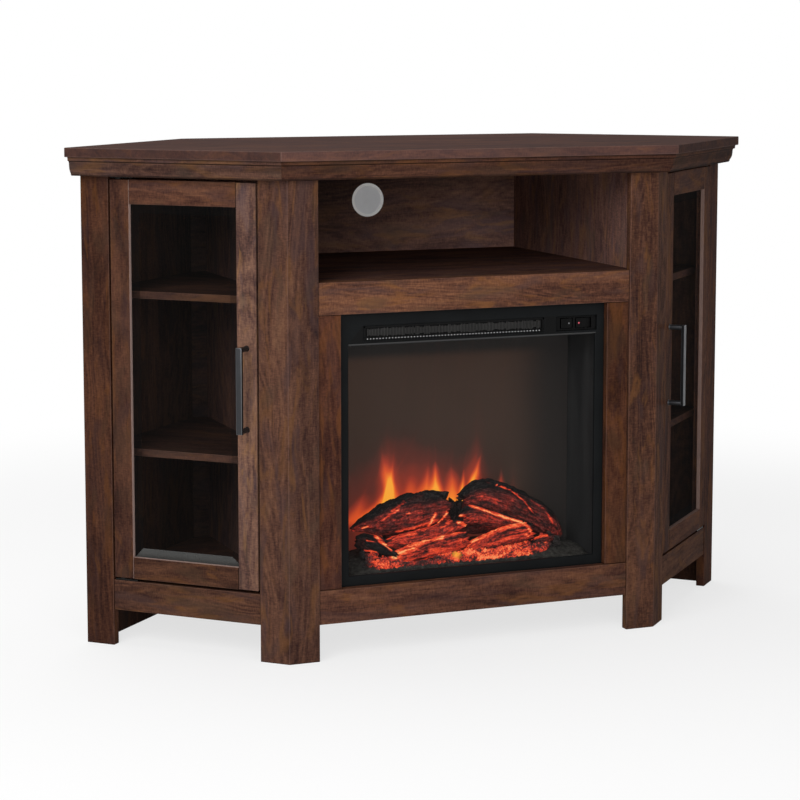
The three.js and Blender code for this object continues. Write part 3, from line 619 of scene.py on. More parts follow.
# Each finish: the function that makes it, then the values it asks for
finishes = {
    # The handle's side faces take a darker copy of the metal, painted shade, and its eased edges a
    # lighter one, a painted highlight
    "gunmetal": (brushedMetal, (0.034, 0.035, 0.038), 0.42, "z", 0.8),
    "gunmetalSide": (satinPaint, (0.0055, 0.0055, 0.006), 0.5, 0.6 * mm, 0.05),
    "gunmetalEdge": (brushedMetal, (0.105, 0.108, 0.114), 0.38, "z", 0.9),
    "nickel": (brushedMetal, (0.42, 0.41, 0.40), 0.36, "x"),
    "darkNickel": (brushedMetal, (0.016, 0.0155, 0.015), 0.45, "x"),
    "bezelBlack": (satinPaint, (0.0066, 0.0072, 0.0076), 0.5, 0.6 * mm, 0.04),
    "channelBlack": (satinPaint, (0.0056, 0.0056, 0.0056), 0.5, 0.8 * mm, 0.04),
    "slatBlack": (satinPaint, (0.034, 0.033, 0.032), 0.5, 0.8 * mm, 0.12),
    "mouldedBlack": (satinPaint, (0.008, 0.008, 0.008), 0.5, 1.2 * mm, 0.15),
    "casingSteel": (heaterSteel,),
    "glossBlack": (glossPlastic, (0.0030, 0.0030, 0.0030), 0.25),
    "brightTrim": (brushedMetal, (0.024, 0.024, 0.024), 0.5, "x", 0.4),
    # A grey disc in the cable hole, painted shade with a painted glow
    "coverFilm": (satinPaint, (0.66, 0.66, 0.68), 0.45, 1.0 * mm, 0.2, 0.084),
    "coverRim": (satinPaint, (0.78, 0.76, 0.73), 0.4, 1.0 * mm, 0.3, 0.13),
    "foil": (brushedMetal, (0.8, 0.8, 0.8), 0.16, "x"),
    # The panes glow evenly: a painted reflection
    "cabinetGlass": (thinPane, (0.9, 0.88, 0.84), 0.04, 0.046),
    "bevelDark": (thinPane, (0.85, 0.87, 0.9), 0.3, 0.012),
    # The left pane's foot bevel: a grey painted reflection
    "bevelGlass": (clearGlass, (0.058, 0.059, 0.057), 0.88, 0.25, 0.2),
    "fireGlass": (thinPane, (0.9, 0.9, 0.9), 0.06, 0.035),
    "flameFilm": (flameFilm,),
    "charredWood": (charredWood,),
    "glowingCoal": (glowingCoal,),
    "ashBed": (ashBed,),
    "redLamp": (glow, (1.0, 0.10, 0.16), 0.75),
    # The power switch's grey dot glows, painted light
    "switchLamp": (glow, (0.5, 0.5, 0.52), 0.3),
    # The vent's studs glow: a painted glint
    "studGlow": (glow, (0.5, 0.5, 0.5), 1.0),
}
finishes.update({name: (walnut, look) for name, look in woodLook.items()})
materials = {}
for name, (makeLook, *values) in finishes.items():
    materials[name] = bpy.data.materials.new(name)
    makeLook(openGraph(materials[name]), *values)
print("materials made:", len(materials))


# Where the slanted faces lie, read from the posts

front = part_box("front_post_left")[0].y


def corners(node):
    return [vertex.co.copy() for vertex in nodes[node].data.vertices]


class Side:
    def __init__(self, name, sign):
        self.name = name
        self.sign = sign
        self.body = f"{name}_door"
        self.along = Vector((sign, 1, 0)).normalized()
        self.inward = Vector((-sign, 1, 0)).normalized()
        self.turn = Matrix((self.along, self.inward, up)).transposed().to_4x4()
        offset = min(point.dot(self.inward) for point in corners(f"outer_post_{name}"))
        self.corner = Vector((sign * (front - offset * math.sqrt(2)), front, 0))

    # Run along the face from the front corner, depth into the cabinet, and height
    def place(self, run, depth, z):
        return self.corner + self.along * run + self.inward * depth + up * z

    def span(self, node):
        local = [point - self.corner for point in corners(node)]
        axes = (self.along, self.inward, up)
        values = [[point.dot(axis) for point in local] for axis in axes]
        return [(min(row), max(row)) for row in values]


sides = [Side("left", -1), Side("right", 1)]


# Making pieces

smoothUnder = math.radians(35)
tiny = 1e-6
easing = {"shortest": 6 * mm, "leastAngle": 0.5, "plain": 0.8 * mm}
flatWithin = 0.02
# How nearly a face looks along an axis, as the cosine of the angle between them
nearness = {
    "upright": 0.1, "seam": 0.3, "half": 0.5, "lip": 0.6, "rocker": 0.8, "straight": 0.9, "flat": 0.99,
}


def addObject(name, data):
    thing = bpy.data.objects.new(name, data)
    bpy.context.scene.collection.objects.link(thing)
    return thing


def toMesh(name, bm):
    mesh = bpy.data.meshes.new(name)
    bm.to_mesh(mesh)
    bm.free()
    return mesh


def setAttribute(mesh, name, domain, values):
    values = np.array(values, np.float32)
    kind, field = ("FLOAT", "value") if values.ndim == 1 else ("FLOAT_VECTOR", "vector")
    mesh.attributes.new(name, kind, domain).data.foreach_set(field, values.ravel())


# Takes a bmesh, or a mesh: one that Geometry Nodes grew brings its own material
def finishPiece(name, shape, material, body, replaced=(), smooth=False):
    mesh = toMesh(name, shape) if isinstance(shape, bmesh.types.BMesh) else shape
    if not mesh.materials:
        for key in [material] if isinstance(material, str) else material:
            mesh.materials.append(materials[key])
    if smooth:
        mesh.shade_smooth()
        mesh.set_sharp_from_angle(angle=smoothUnder)
    piece = addObject(name, mesh)
    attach(piece, body)
    if replaced:
        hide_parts(*replaced)


# Rounds the long edges and marks what it rounded
def easeEdges(bm, width, shortest=easing["shortest"], segments=2):
    layer = bm.faces.layers.float.new("easedFace")
    sharp = [
        edge for edge in bm.edges
        if len(edge.link_faces) == 2 and edge.calc_length() > shortest
        and edge.calc_face_angle(0) > easing["leastAngle"]
    ]
    made = bmesh.ops.bevel(
        bm, geom=sharp, offset=width, segments=segments, affect="EDGES", profile=0.5,
    )
    for face in made["faces"]:
        face[layer] = 1


def nodeCopy(node):
    bm = bmesh.new()
    bm.from_mesh(nodes[node].data)
    bmesh.ops.remove_doubles(bm, verts=bm.verts, dist=tiny)
    bmesh.ops.dissolve_limit(bm, angle_limit=flatWithin, verts=bm.verts, edges=bm.edges)
    return bm


# A node's own shape with its edges eased
def easedCopy(node, *easeValues):
    bm = nodeCopy(node)
    easeEdges(bm, *easeValues)
    return bm


# A box between two values on each axis of the world, or of a slanted side
def addBox(bm, spans, side=None):
    middle = [(start + end) / 2 for start, end in spans]
    size = [end - start for start, end in spans]
    matrix = Matrix.Translation(side.place(*middle) if side else middle)
    if side:
        matrix @= side.turn
    made = bmesh.ops.create_cube(bm, size=1, matrix=matrix @ Matrix.Diagonal((*size, 1)))
    faces = dict.fromkeys(face for vertex in made["verts"] for face in vertex.link_faces)
    bmesh.ops.recalc_face_normals(bm, faces=list(faces))


def addTube(bm, start, end, radius, endRadius, count):
    axis = end - start
    turn = axis.to_track_quat("Z", "Y").to_matrix().to_4x4()
    bmesh.ops.create_cone(
        bm, cap_ends=True, cap_tris=False, segments=count, radius1=radius, radius2=endRadius,
        depth=axis.length, matrix=Matrix.Translation((start + end) / 2) @ turn,
    )


# Walls between closed loops of points, and a face at each end
def addLoft(bm, outlines):
    loops = [[bm.verts.new(place) for place in outline] for outline in outlines]
    count = len(loops[0])
    walls = []
    for first, second in zip(loops, loops[1:]):
        for i in range(count):
            j = (i + 1) % count
            walls.append(bm.faces.new((first[i], first[j], second[j], second[i])))
    bm.faces.new(loops[0][::-1])
    last = bm.faces.new(loops[-1])
    bmesh.ops.recalc_face_normals(bm, faces=bm.faces)
    return walls, last


def cutAlong(bm, place, normal, faces=None):
    faces = bm.faces[:] if faces is None else faces
    edges = dict.fromkeys(edge for face in faces for edge in face.edges)
    points = dict.fromkeys(vertex for face in faces for vertex in face.verts)
    geometry = [*faces, *edges, *points]
    bmesh.ops.bisect_plane(bm, geom=geometry, plane_co=place, plane_no=normal, dist=tiny)
    bm.normal_update()


# A piece grown by Geometry Nodes: named inputs, then what the wiring makes of them
def growPiece(name, base, inputs, wiring, material, shift=(0, 0, 0)):
    tree = bpy.data.node_groups.new(name, "GeometryNodeTree")
    ports = tree.interface
    ports.new_socket("Geometry", in_out="INPUT", socket_type="NodeSocketGeometry")
    ports.new_socket("Geometry", in_out="OUTPUT", socket_type="NodeSocketGeometry")
    kinds = {int: "NodeSocketInt", float: "NodeSocketFloat"}
    keys = {}
    for label, value in inputs.items():
        port = ports.new_socket(label, in_out="INPUT", socket_type=kinds[type(value)])
        keys[label] = port.identifier
    g = Graph(tree)
    grown = wiring(g, g.add("NodeGroupInput"))
    solid = g.add("GeometryNodeRealizeInstances", None, [grown])[0]
    values = {"Geometry": solid, "Material": materials[material]}
    painted = g.add("GeometryNodeSetMaterial", None, values)[0]
    g.add("NodeGroupOutput", None, [painted])
    holder = addObject(name, base)
    modifier = holder.modifiers.new("grow", "NODES")
    modifier.node_group = tree
    for label, value in inputs.items():
        modifier[keys[label]] = value
    depsgraph = bpy.context.evaluated_depsgraph_get()
    mesh = bpy.data.meshes.new_from_object(holder.evaluated_get(depsgraph), depsgraph=depsgraph)
    bpy.data.objects.remove(holder)
    mesh.name = name
    mesh.transform(Matrix.Translation(shift))
    finishPiece(name, mesh, material, "carcass")


# Loose points, each with the way its instance faces
def pointMesh(name, places):
    mesh = bpy.data.meshes.new(name)
    mesh.from_pydata([place for place, _ in places], [], [])
    setAttribute(mesh, "facing", "POINT", [way for _, way in places])
    return mesh


def instances(g, points, thing, **turns):
    values = {"Points": points, "Instance": thing, **turns}
    return g.add("GeometryNodeInstanceOnPoints", None, values)[0]


def facedInstances(g, points, thing):
    facing = g.add("GeometryNodeInputNamedAttribute", {"data_type": "FLOAT_VECTOR"}, ["facing"])[0]
    turn = g.add("FunctionNodeAlignRotationToVector", {"axis": "Z"}, {"Vector": facing})[0]
    return instances(g, points, thing, Rotation=turn)


# A row of equal things along x, about its own middle
def rowInstances(g, source, thing, **turns):
    start = g.combine((source["Count"] - 1) * source["Pitch"] * -0.5, 0.0, 0.0)
    step = g.combine(source["Pitch"], 0.0, 0.0)
    values = {"Count": source["Count"], "Start Location": start, "Offset": step}
    line = g.add("GeometryNodeMeshLine", {"mode": "OFFSET"}, values)[0]
    return instances(g, line, thing, **turns)


# Boards

# Each board's share of the stain, in red, green and blue: partly tone that differs from board to board,
# mostly painted light and shade, darker inside the cabinets and on the top, lighter in the open bay
boardTonesAndPaintedLight = {
    "top_panel": (0.61, 0.575, 0.60), "back_panel": (2.9, 3.3, 3.7), "floor_panel": (0.6, 0.6, 0.6),
    "media_shelf": (0.95, 1.0, 1.1), "media_rail": (1.3, 1.3, 1.2), "lower_rail": (1.0, 1.0, 1.0),
    "front_post_left": (0.85, 0.92, 0.97), "front_post_right": (1.01, 1.05, 1.0),
    "outer_post_left": (0.62, 0.58, 0.54), "outer_post_right": (0.72, 0.66, 0.62),
    "fire_stile_left": (0.85, 0.75, 0.71), "fire_stile_right": (0.69, 0.62, 0.54),
    "rear_side_panel": (0.45, 0.47, 0.47), "divider": (1.9, 2.1, 2.4),
    "shelf": (0.42, 0.44, 0.46), "skirt": (0.84, 0.88, 0.86),
    "cornice_front": (0.78, 0.78, 0.78), "cornice_left": (0.9, 1.04, 1.16),
    "cornice_right": (0.6, 0.6, 0.6),
    "door_left_hinge_stile": (0.66, 0.66, 0.67), "door_left_lock_stile": (1.41, 1.73, 1.95),
    "door_left_upper_rail": (0.85, 0.85, 0.85), "door_left_lower_rail": (0.8, 0.82, 0.76),
    "door_right": (0.8, 0.8, 0.8),
}
# Inside, the cabinets beside and under the open bay get painted shade. Other faces of a board differ: the
# shelf fronts and the side panels' outer rear faces are lifted partly out of the painted shade, the
# slab's front gets painted light, and the back panel's rear is darker in its own tone
bayShape = {"wall": 293 * mm, "floor": 592 * mm}
faceToneAndShadeShares = {
    "dividerBeside": 0.55, "shelfEdge": 1.5, "slabFront": 1.76,
    "panelRear": 0.3, "panelBeside": 0.17, "sideRear": 1.6,
}
# The back of the open bay carries a painted shadow, darker towards its left end and its top, in steps of
# this grid
bayPaintedShadow = {
    "x": (-75 * mm, 200 * mm), "xShares": (0.34, 1.1),
    "z": (627 * mm, 722 * mm), "zShares": (1.18, 0.46),
    "columns": range(-240, 270, 30), "rows": range(610, 750, 16),  # millimetres
}
boardEases = {"slab": 1.2 * mm, "post": 0.9 * mm, "rail": 0.7 * mm, "panel": 0.5 * mm}
grainShift = 40  # metres of grain from which each board takes its own piece


# Gives a board its grain, and as attributes of the mesh its eased edges, its lip with a painted
# highlight, and its dark seams and grooves of painted shade
def markBoard(mesh, along, shift):
    through = along.cross(up)
    if through.length < nearness["upright"]:
        through = rightward.copy()
    through.normalize()
    across = along.cross(through).normalized()
    points = np.zeros(len(mesh.vertices) * 3)
    mesh.vertices.foreach_get("co", points)
    axes = np.array([along, across, through])
    setAttribute(mesh, "grain", "POINT", points.reshape(-1, 3) @ axes.T + np.array(shift))
    for source, target in (("easedFace", "eased"), ("lipFace", "lip"), ("grooveFace", "groove")):
        values = np.zeros(len(mesh.polygons), np.float32)
        if source in mesh.attributes:
            mesh.attributes[source].data.foreach_get("value", values)
            mesh.attributes.remove(mesh.attributes[source])
        setAttribute(mesh, target, "FACE", values)


def boardTone(node):
    fitting = [key for key in boardTonesAndPaintedLight if node.startswith(key)]
    return np.array(boardTonesAndPaintedLight[max(fitting, key=len)])


# Painted shade and light on single faces, and the back panel's darker rear
def faceToneAndShade(node, face):
    middle, normal = face.center, face.normal
    beside = abs(middle.x) > bayShape["wall"]
    under = middle.z < bayShape["floor"]
    rules = [
        ("divider", beside, "dividerBeside"),
        ("rear_side_panel", normal.y > nearness["half"], "sideRear"),
        ("back_panel", normal.y > nearness["half"], "panelRear"),
        ("back_panel", beside or under, "panelBeside"),
        ("shelf", abs(normal.z) < nearness["half"], "shelfEdge"),
        ("top_panel", normal.y < -nearness["straight"], "slabFront"),
    ]
    for start, holds, key in rules:
        if node.startswith(start) and holds:
            return faceToneAndShadeShares[key]
    return 1.0


# The painted shadow on the front of the bay's back panel, as a share per corner
def bayShadowShare(node, face, place):
    inBay = abs(face.center.x) < bayShape["wall"] and face.center.z > bayShape["floor"]
    if node != "back_panel" or face.normal.y > -nearness["half"] or not inBay:
        return 1.0
    aside = np.interp(place.x, bayPaintedShadow["x"], bayPaintedShadow["xShares"])
    return aside * np.interp(place.z, bayPaintedShadow["z"], bayPaintedShadow["zShares"])


def makeBoard(name, node, bm, along, material="walnutFace", body="carcass"):
    mesh = toMesh(name, bm)
    markBoard(mesh, along, [dice.uniform(-grainShift, grainShift) for _ in range(3)])
    shares = []
    for face in mesh.polygons:
        share = faceToneAndShade(node, face)
        shares += [share * bayShadowShare(node, face, mesh.vertices[i].co) for i in face.vertices]
    setAttribute(mesh, "boardTone", "CORNER", np.array(shares)[:, None] * boardTone(node))
    finishPiece(name, mesh, material, body, [node])


# The ends of a board meet another one in a dark seam
def darkenSeams(bm, along):
    bm.normal_update()
    eased = bm.faces.layers.float["easedFace"]
    groove = bm.faces.layers.float.new("grooveFace")
    for face in bm.faces:
        if face[eased] and abs(face.normal.dot(along)) > nearness["seam"]:
            face[eased] = 0
            face[groove] = 1.0


def dressBoard(
    node, along, material="walnutFace", ease=easing["plain"], body="carcass", lip=None, cuts=(),
):
    bm = easedCopy(node, ease)
    if node != "top_panel":
        darkenSeams(bm, along)
    for place, normal in cuts:
        cutAlong(bm, place, normal)
    # The lip in front of a pane takes a painted highlight
    if lip:
        cutAlong(bm, lip["place"], lip["inward"])
        layer = bm.faces.layers.float.new("lipFace")
        for face in bm.faces:
            ahead = (face.calc_center_median() - lip["place"]).dot(lip["inward"]) < 0
            if ahead and face.normal.dot(lip["facing"]) > nearness["lip"]:
                face[layer] = lip["share"]
    makeBoard(f"{node}_board", node, bm, along, material, body)


def dressCarcass():
    ease = boardEases
    bay = [(rightward * bayShape["wall"] * sign, rightward) for sign in (-1, 1)]
    bay.append((up * bayShape["floor"], up))
    bay += [(rightward * x * mm, rightward) for x in bayPaintedShadow["columns"]]
    bay += [(up * z * mm, up) for z in bayPaintedShadow["rows"]]
    dressBoard("top_panel", rightward, "walnutTop", ease["slab"])
    dressBoard("media_rail", rightward)
    dressBoard("lower_rail", rightward)
    dressBoard("back_panel", rightward, "walnutPanel", ease["panel"], cuts=bay)
    dressBoard("floor_panel", rightward, "walnutPanel", ease["panel"])
    dressBoard("media_shelf", rightward, "walnutPanel", ease["panel"])
    for side in sides:
        for node in ("front_post", "outer_post", "fire_stile"):
            dressBoard(f"{node}_{side.name}", up, ease=ease["post"])
        for node in ("rear_side_panel", "divider"):
            dressBoard(f"{node}_{side.name}", up, "walnutPanel")
        dressBoard(f"skirt_{side.name}", side.along)
        for level in ("lower", "upper"):
            dressBoard(f"shelf_{side.name}_{level}", side.along, "walnutPanel")


# Cornice: a bead, a cove, an ogee and a fillet, in shares of its depth and of its height
corniceShape = [
    (0.00, 0.00), (0.04, 0.03), (0.08, 0.06), (0.09, 0.10), (0.08, 0.14), (0.10, 0.18), (0.16, 0.205),
    (0.32, 0.22), (0.40, 0.25), (0.44, 0.31), (0.455, 0.38), (0.465, 0.46), (0.49, 0.54), (0.53, 0.62),
    (0.59, 0.69), (0.67, 0.76), (0.76, 0.82), (0.86, 0.87), (0.88, 0.90), (0.90, 0.96), (1.00, 0.965),
    (1.00, 1.00),
]
# Painted shade in its grooves, from one share of the height to another
corniceShadeBands = [(0.0, 0.05, 0.5), (0.17, 0.24, 0.9), (0.30, 0.55, 0.35), (0.89, 1.0, 0.8)]
sameLevel = {"foot": 0.5 * mm, "face": 0.3 * mm}


def makeCornice():
    runs = [("front", rightward, rearward)] + [(side.name, side.along, side.inward) for side in sides]
    for key, along, inward in runs:
        node = f"cornice_{key}"
        points = corners(node)
        near = min(point.dot(inward) for point in points)
        far = max(point.dot(inward) for point in points)
        low = min(point.z for point in points)
        high = max(point.z for point in points)
        under = min(point.dot(inward) for point in points if point.z < low + sameLevel["foot"])
        outline = [(near + a * (under - near), high - b * (high - low)) for a, b in corniceShape]
        outline += [(far, low), (far, high)]

        # Where an end lies at a depth: the mitre runs straight from the front edge to the back
        def endAt(level, pick):
            ends = [p for p in points if abs(p.dot(inward) - level) < sameLevel["face"]]
            return pick([p.dot(along) for p in ends])

        loops = []
        for pick in (min, max):
            start = endAt(near, pick)
            slope = (endAt(far, pick) - start) / (far - near)
            starts = [along * (start + slope * (depth - near)) for depth, _ in outline]
            loops.append([at + inward * depth + up * z for at, (depth, z) in zip(starts, outline)])
        bm = bmesh.new()
        groove = bm.faces.layers.float.new("grooveFace")
        walls, _ = addLoft(bm, loops)
        # The recesses of the profile take painted shade
        levels = [level for _, level in corniceShape] + [1, 1]
        for face, level in zip(walls, levels):
            face[groove] = sum(share for start, end, share in corniceShadeBands if start <= level < end)
        makeBoard(f"{node}_moulding", node, bm, along)


# Doors

# The painted highlight on the lip round each pane, by door
lipHighlightShares = {"left": 1.0, "right": 0.5}  # how much lighter the lip round each pane is
paneShape = {"bevel": (0.5, 0.999), "footBevel": 20 * mm}
handleShape = {
    "ease": 0.9 * mm,
    "easeSteps": 3,
    "barDepth": 6.0 * mm,
    "postRadius": 4.2 * mm,
    "postInset": 0.95,  # from the end of the bar, in radii of the post
    "postInBar": 1.0 * mm,
    "gap": 0.05 * mm,  # between the door's face and what stands on it
    "collarRadius": 4.9 * mm,
    "collarHeight": 2.0 * mm,
    "facets": 28,
}


def dressDoors():
    for side in sides:
        door = f"door_{side.name}"
        _, (glassFront, _), _ = side.span(f"{door}_glass")
        # The hinge stile's and lower rail's lips take the painted highlight
        stileHighlight = {
            "facing": -side.along, "inward": side.inward, "place": side.place(0, glassFront, 0),
            "share": lipHighlightShares[side.name],
        }
        railHighlight = {**stileHighlight, "facing": up}
        for key, along, ease, lip in (
            ("hinge_stile", up, "post", stileHighlight), ("lock_stile", up, "post", None),
            ("upper_rail", side.along, "rail", None), ("lower_rail", side.along, "rail", railHighlight),
        ):
            dressBoard(f"{door}_{key}", along, ease=boardEases[ease], body=side.body, lip=lip)
        makePane(side, f"{door}_glass")
        makeHandle(side, f"{door}_handle")


def makePane(side, node):
    bm = nodeCopy(node)
    foot = side.span(node)[2][0] + paneShape["footBevel"]
    least, most = paneShape["bevel"]
    bm.normal_update()
    # The left pane's foot bevel takes a grey painted reflection
    for face in bm.faces:
        sloped = least < abs(face.normal.dot(side.inward)) < most
        atFoot = side.name == "left" and face.calc_center_median().z < foot
        face.material_index = (2 if atFoot else 1) if sloped else 0
    coats = ["cabinetGlass", "bevelDark", "bevelGlass"]
    finishPiece(f"{node}_pane", bm, coats, side.body, [node])


def makeHandle(side, node):
    shape = handleShape
    run, (ahead, _), (low, high) = side.span(node)
    barBack = ahead + shape["barDepth"]
    bm = bmesh.new()
    addBox(bm, (run, (ahead, barBack), (low, high)), side)
    easeEdges(bm, shape["ease"], segments=shape["easeSteps"])
    bm.normal_update()
    eased = bm.faces.layers.float["easedFace"]
    # Eased edges get the painted highlight, the ends facing along the door the painted shade
    for face in bm.faces:
        if face[eased]:
            face.material_index = 2
        elif abs(face.normal.dot(side.along)) > nearness["straight"]:
            face.material_index = 1
    middle = sum(run) / 2
    radius = shape["postRadius"]
    inset = radius * shape["postInset"]
    for z in (low + inset, high - inset):
        start = side.place(middle, -shape["gap"], z)
        end = side.place(middle, barBack - shape["postInBar"], z)
        addTube(bm, start, end, radius, radius, shape["facets"])
        collarEnd = start - side.inward * shape["collarHeight"]
        addTube(bm, start, collarEnd, shape["collarRadius"], radius, shape["facets"])
    coats = ["gunmetal", "gunmetalSide", "gunmetalEdge"]
    finishPiece(f"{node}_bar", bm, coats, side.body, [node], smooth=True)


# Pivot hinges, catches and strike plates, with their screws

screwShape = {
    "Head Radius": 2.5 * mm, "Head Height": 0.6 * mm, "Cross Length": 2.6 * mm, "Cross Width": 0.6 * mm,
}
screwLook = {"facets": 16, "topShare": 0.75, "crossHeight": 0.12 * mm}
hingeShape = {"ease": 0.4 * mm, "shortest": 8 * mm, "leaf": 2.8 * mm, "screws": (0.14, 0.38)}
catchShape = {"ease": 1.0 * mm, "screws": (0.12, 0.88)}
strikeShape = {
    "width": 30 * mm, "height": 8 * mm, "lift": 1.2 * mm,
    "thickness": 0.8 * mm, "proud": 0.1 * mm, "ease": 0.2 * mm,
}


def screwWiring(g, source):
    lift = g.combine(0.0, 0.0, source["Head Height"])
    parts = [g.add("GeometryNodeMeshCone", None, {
        "Vertices": screwLook["facets"], "Radius Top": source["Head Radius"] * screwLook["topShare"],
        "Radius Bottom": source["Head Radius"], "Depth": source["Head Height"],
    })[0]]
    for first, second in (("Cross Length", "Cross Width"), ("Cross Width", "Cross Length")):
        size = g.combine(source[first], source[second], screwLook["crossHeight"])
        bar = g.add("GeometryNodeMeshCube", None, {"Size": size})[0]
        parts.append(g.add("GeometryNodeTransform", None, {"Geometry": bar, "Translation": lift})[0])
    screw = g.add("GeometryNodeJoinGeometry", None, [parts])[0]
    return facedInstances(g, source["Geometry"], screw)


def dressHardware():
    screws = []

    def addScrews(side, node, shares, z, way):
        (start, end), depth, _ = side.span(node)
        for share in shares:
            screws.append((side.place(start + (end - start) * share, sum(depth) / 2, z), way))

    for side in sides:
        for level, way in (("lower", up), ("upper", -up)):
            node = f"pivot_hinge_{side.name}_{level}"
            bm = easedCopy(node, hingeShape["ease"], hingeShape["shortest"])
            low, high = side.span(node)[2]
            z = low + hingeShape["leaf"] if level == "lower" else high - hingeShape["leaf"]
            addScrews(side, node, hingeShape["screws"], z, way)
            finishPiece(f"{node}_leaf", bm, "darkNickel", "carcass", [node])
        node = f"magnetic_catch_{side.name}"
        bm = easedCopy(node, catchShape["ease"])
        addScrews(side, node, catchShape["screws"], side.span(node)[2][1], up)
        finishPiece(f"{node}_case", bm, "mouldedBlack", "carcass", [node])
        makeStrikePlate(side, sum(side.span(node)[0]) / 2)
    points = pointMesh("hardware_screw_points", screws)
    growPiece("hardware_screws", points, screwShape, screwWiring, "nickel")


def makeStrikePlate(side, middle):
    shape = strikeShape
    _, (_, back), (low, _) = side.span(f"door_{side.name}_lower_rail")
    run = (middle - shape["width"] / 2, middle + shape["width"] / 2)
    depth = (back - shape["thickness"], back + shape["proud"])
    bm = bmesh.new()
    addBox(bm, (run, depth, (low + shape["lift"], low + shape["lift"] + shape["height"])), side)
    easeEdges(bm, shape["ease"])
    finishPiece(f"strike_plate_{side.name}", bm, "nickel", side.body)


# A grey disc in the cable hole of the media bay: painted shade standing in for the shade seen through the
# hole, with a painted glow.
# Its section runs from the back of the skirt round the rim to the film, in millimetres:
# how far past the radius, and how far behind the panel's face.
holeShadeShape = {
    "z": 692.15 * mm, "radius": 28.3 * mm, "facets": 72,
    "section": [(-0.8, 5), (-0.6, 0.4), (1.6, -0.05), (1.4, -0.9), (-2.6, -0.9), (-3.4, 0.6)],
}


def makeHoleShadeDisc():
    shape = holeShadeShape
    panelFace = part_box("back_panel")[0].y
    angles = [2 * math.pi * i / shape["facets"] for i in range(shape["facets"])]
    loops = []
    for past, behind in shape["section"]:
        radius, y = shape["radius"] + past * mm, panelFace + behind * mm
        loops.append([(radius * math.cos(a), y, shape["z"] + radius * math.sin(a)) for a in angles])
    bm = bmesh.new()
    _, film = addLoft(bm, loops)
    for face in bm.faces:
        face.material_index = 0 if face == film else 1
    coats = ["coverFilm", "coverRim"]
    finishPiece("cable_hole_cover", bm, coats, "carcass", smooth=True)


# Screws in the rear panel, along its edges and into the dividers

fastenerShape = {
    "Head Radius": 4.2 * mm, "Head Height": 0.8 * mm, "Cross Length": 4.0 * mm, "Cross Width": 0.9 * mm,
}
fastenerPlaces = {
    "shares": (0.03, 0.27, 0.5, 0.73, 0.97), "fromTop": 8 * mm, "fromFoot": 42 * mm,
    "dividers": (-293.5 * mm, 293.5 * mm), "heights": (0.20, 0.32, 0.44, 0.56, 0.68), "sunk": 0.05 * mm,
}


def makeFasteners():
    low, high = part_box("back_panel")
    row = fastenerPlaces
    ends = (high.z - row["fromTop"], low.z + row["fromFoot"])
    spots = [(low.x + (high.x - low.x) * share, z) for share in row["shares"] for z in ends]
    spots += [(x, z) for x in row["dividers"] for z in row["heights"]]
    places = [(Vector((x, high.y - row["sunk"], z)), rearward) for x, z in spots]
    points = pointMesh("fastener_points", places)
    growPiece("panel_fasteners", points, fastenerShape, screwWiring, "darkNickel")


pinShape = {"Radius": 2.4 * mm, "Length": 9.0 * mm}
pinPlaces = {"under": 2.5 * mm, "fromFront": 60 * mm, "fromRear": 50 * mm, "out": 4 * mm, "facets": 14}


def pinWiring(g, source):
    values = {"Vertices": pinPlaces["facets"], "Radius": source["Radius"], "Depth": source["Length"]}
    pin = g.add("GeometryNodeMeshCylinder", None, values)[0]
    return facedInstances(g, source["Geometry"], pin)


# Pins in the dividers, under the shelves
def makeShelfPins():
    places = []
    for side in sides:
        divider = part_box(f"divider_{side.name}")
        wall = divider[0].x if side.sign < 0 else divider[1].x
        for level in ("lower", "upper"):
            low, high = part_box(f"shelf_{side.name}_{level}")
            for y in (low.y + pinPlaces["fromFront"], high.y - pinPlaces["fromRear"]):
                place = Vector((wall + side.sign * pinPlaces["out"], y, low.z - pinPlaces["under"]))
                places.append((place, Vector((side.sign, 0, 0))))
    growPiece("shelf_pins", pointMesh("pin_points", places), pinShape, pinWiring, "nickel")


# The insert's front: the header has a channel pressed into it, for the vent and the switches

channelShape = {
    "side": 16 * mm, "top": 20 * mm, "foot": 0.6 * mm,  # foot is above the bright trim
    "sameFace": 0.3 * mm,
}
bezelEase = (1.0 * mm, 8 * mm, 3)  # width, shortest edge, steps
# Each plain piece of the front: its node, material, slot and ease
insertPieces = {
    "control_face": ("control_plate", "glossBlack", "gloss_black", (0.4 * mm, 5 * mm)),
    "header_trim_strip": ("header_trim", "brightTrim", "bright_trim", (0.3 * mm,)),
    "firebox_pane": ("firebox_glass", "fireGlass", "firebox_glass", (0.5 * mm,)),
}
# The heat switch's red lamp, and the power switch's grey dot, which glows as painted light
rockerLampAndDot = {"heat": "redLamp", "power": "switchLamp"}
rockerShape = {
    "ease": (0.5 * mm, 5 * mm), "lampSunk": 0.3 * mm, "lampProud": 0.45 * mm,
    "lampFoot": 1.5 * mm, "lampHead": 1.2 * mm, "facets": 20,
}


def dressInsert():
    bm = easedCopy("bezel", *bezelEase)
    pressChannel(bm)
    finishPiece("bezel_front", bm, ["bezelBlack", "channelBlack"], "carcass", ["bezel"])
    for name, (node, material, slot, ease) in insertPieces.items():
        finishPiece(name, easedCopy(node, *ease), material, "carcass", [node])
    for key, lamp in rockerLampAndDot.items():
        makeRocker(f"{key}_rocker", f"{key}_switch", lamp)


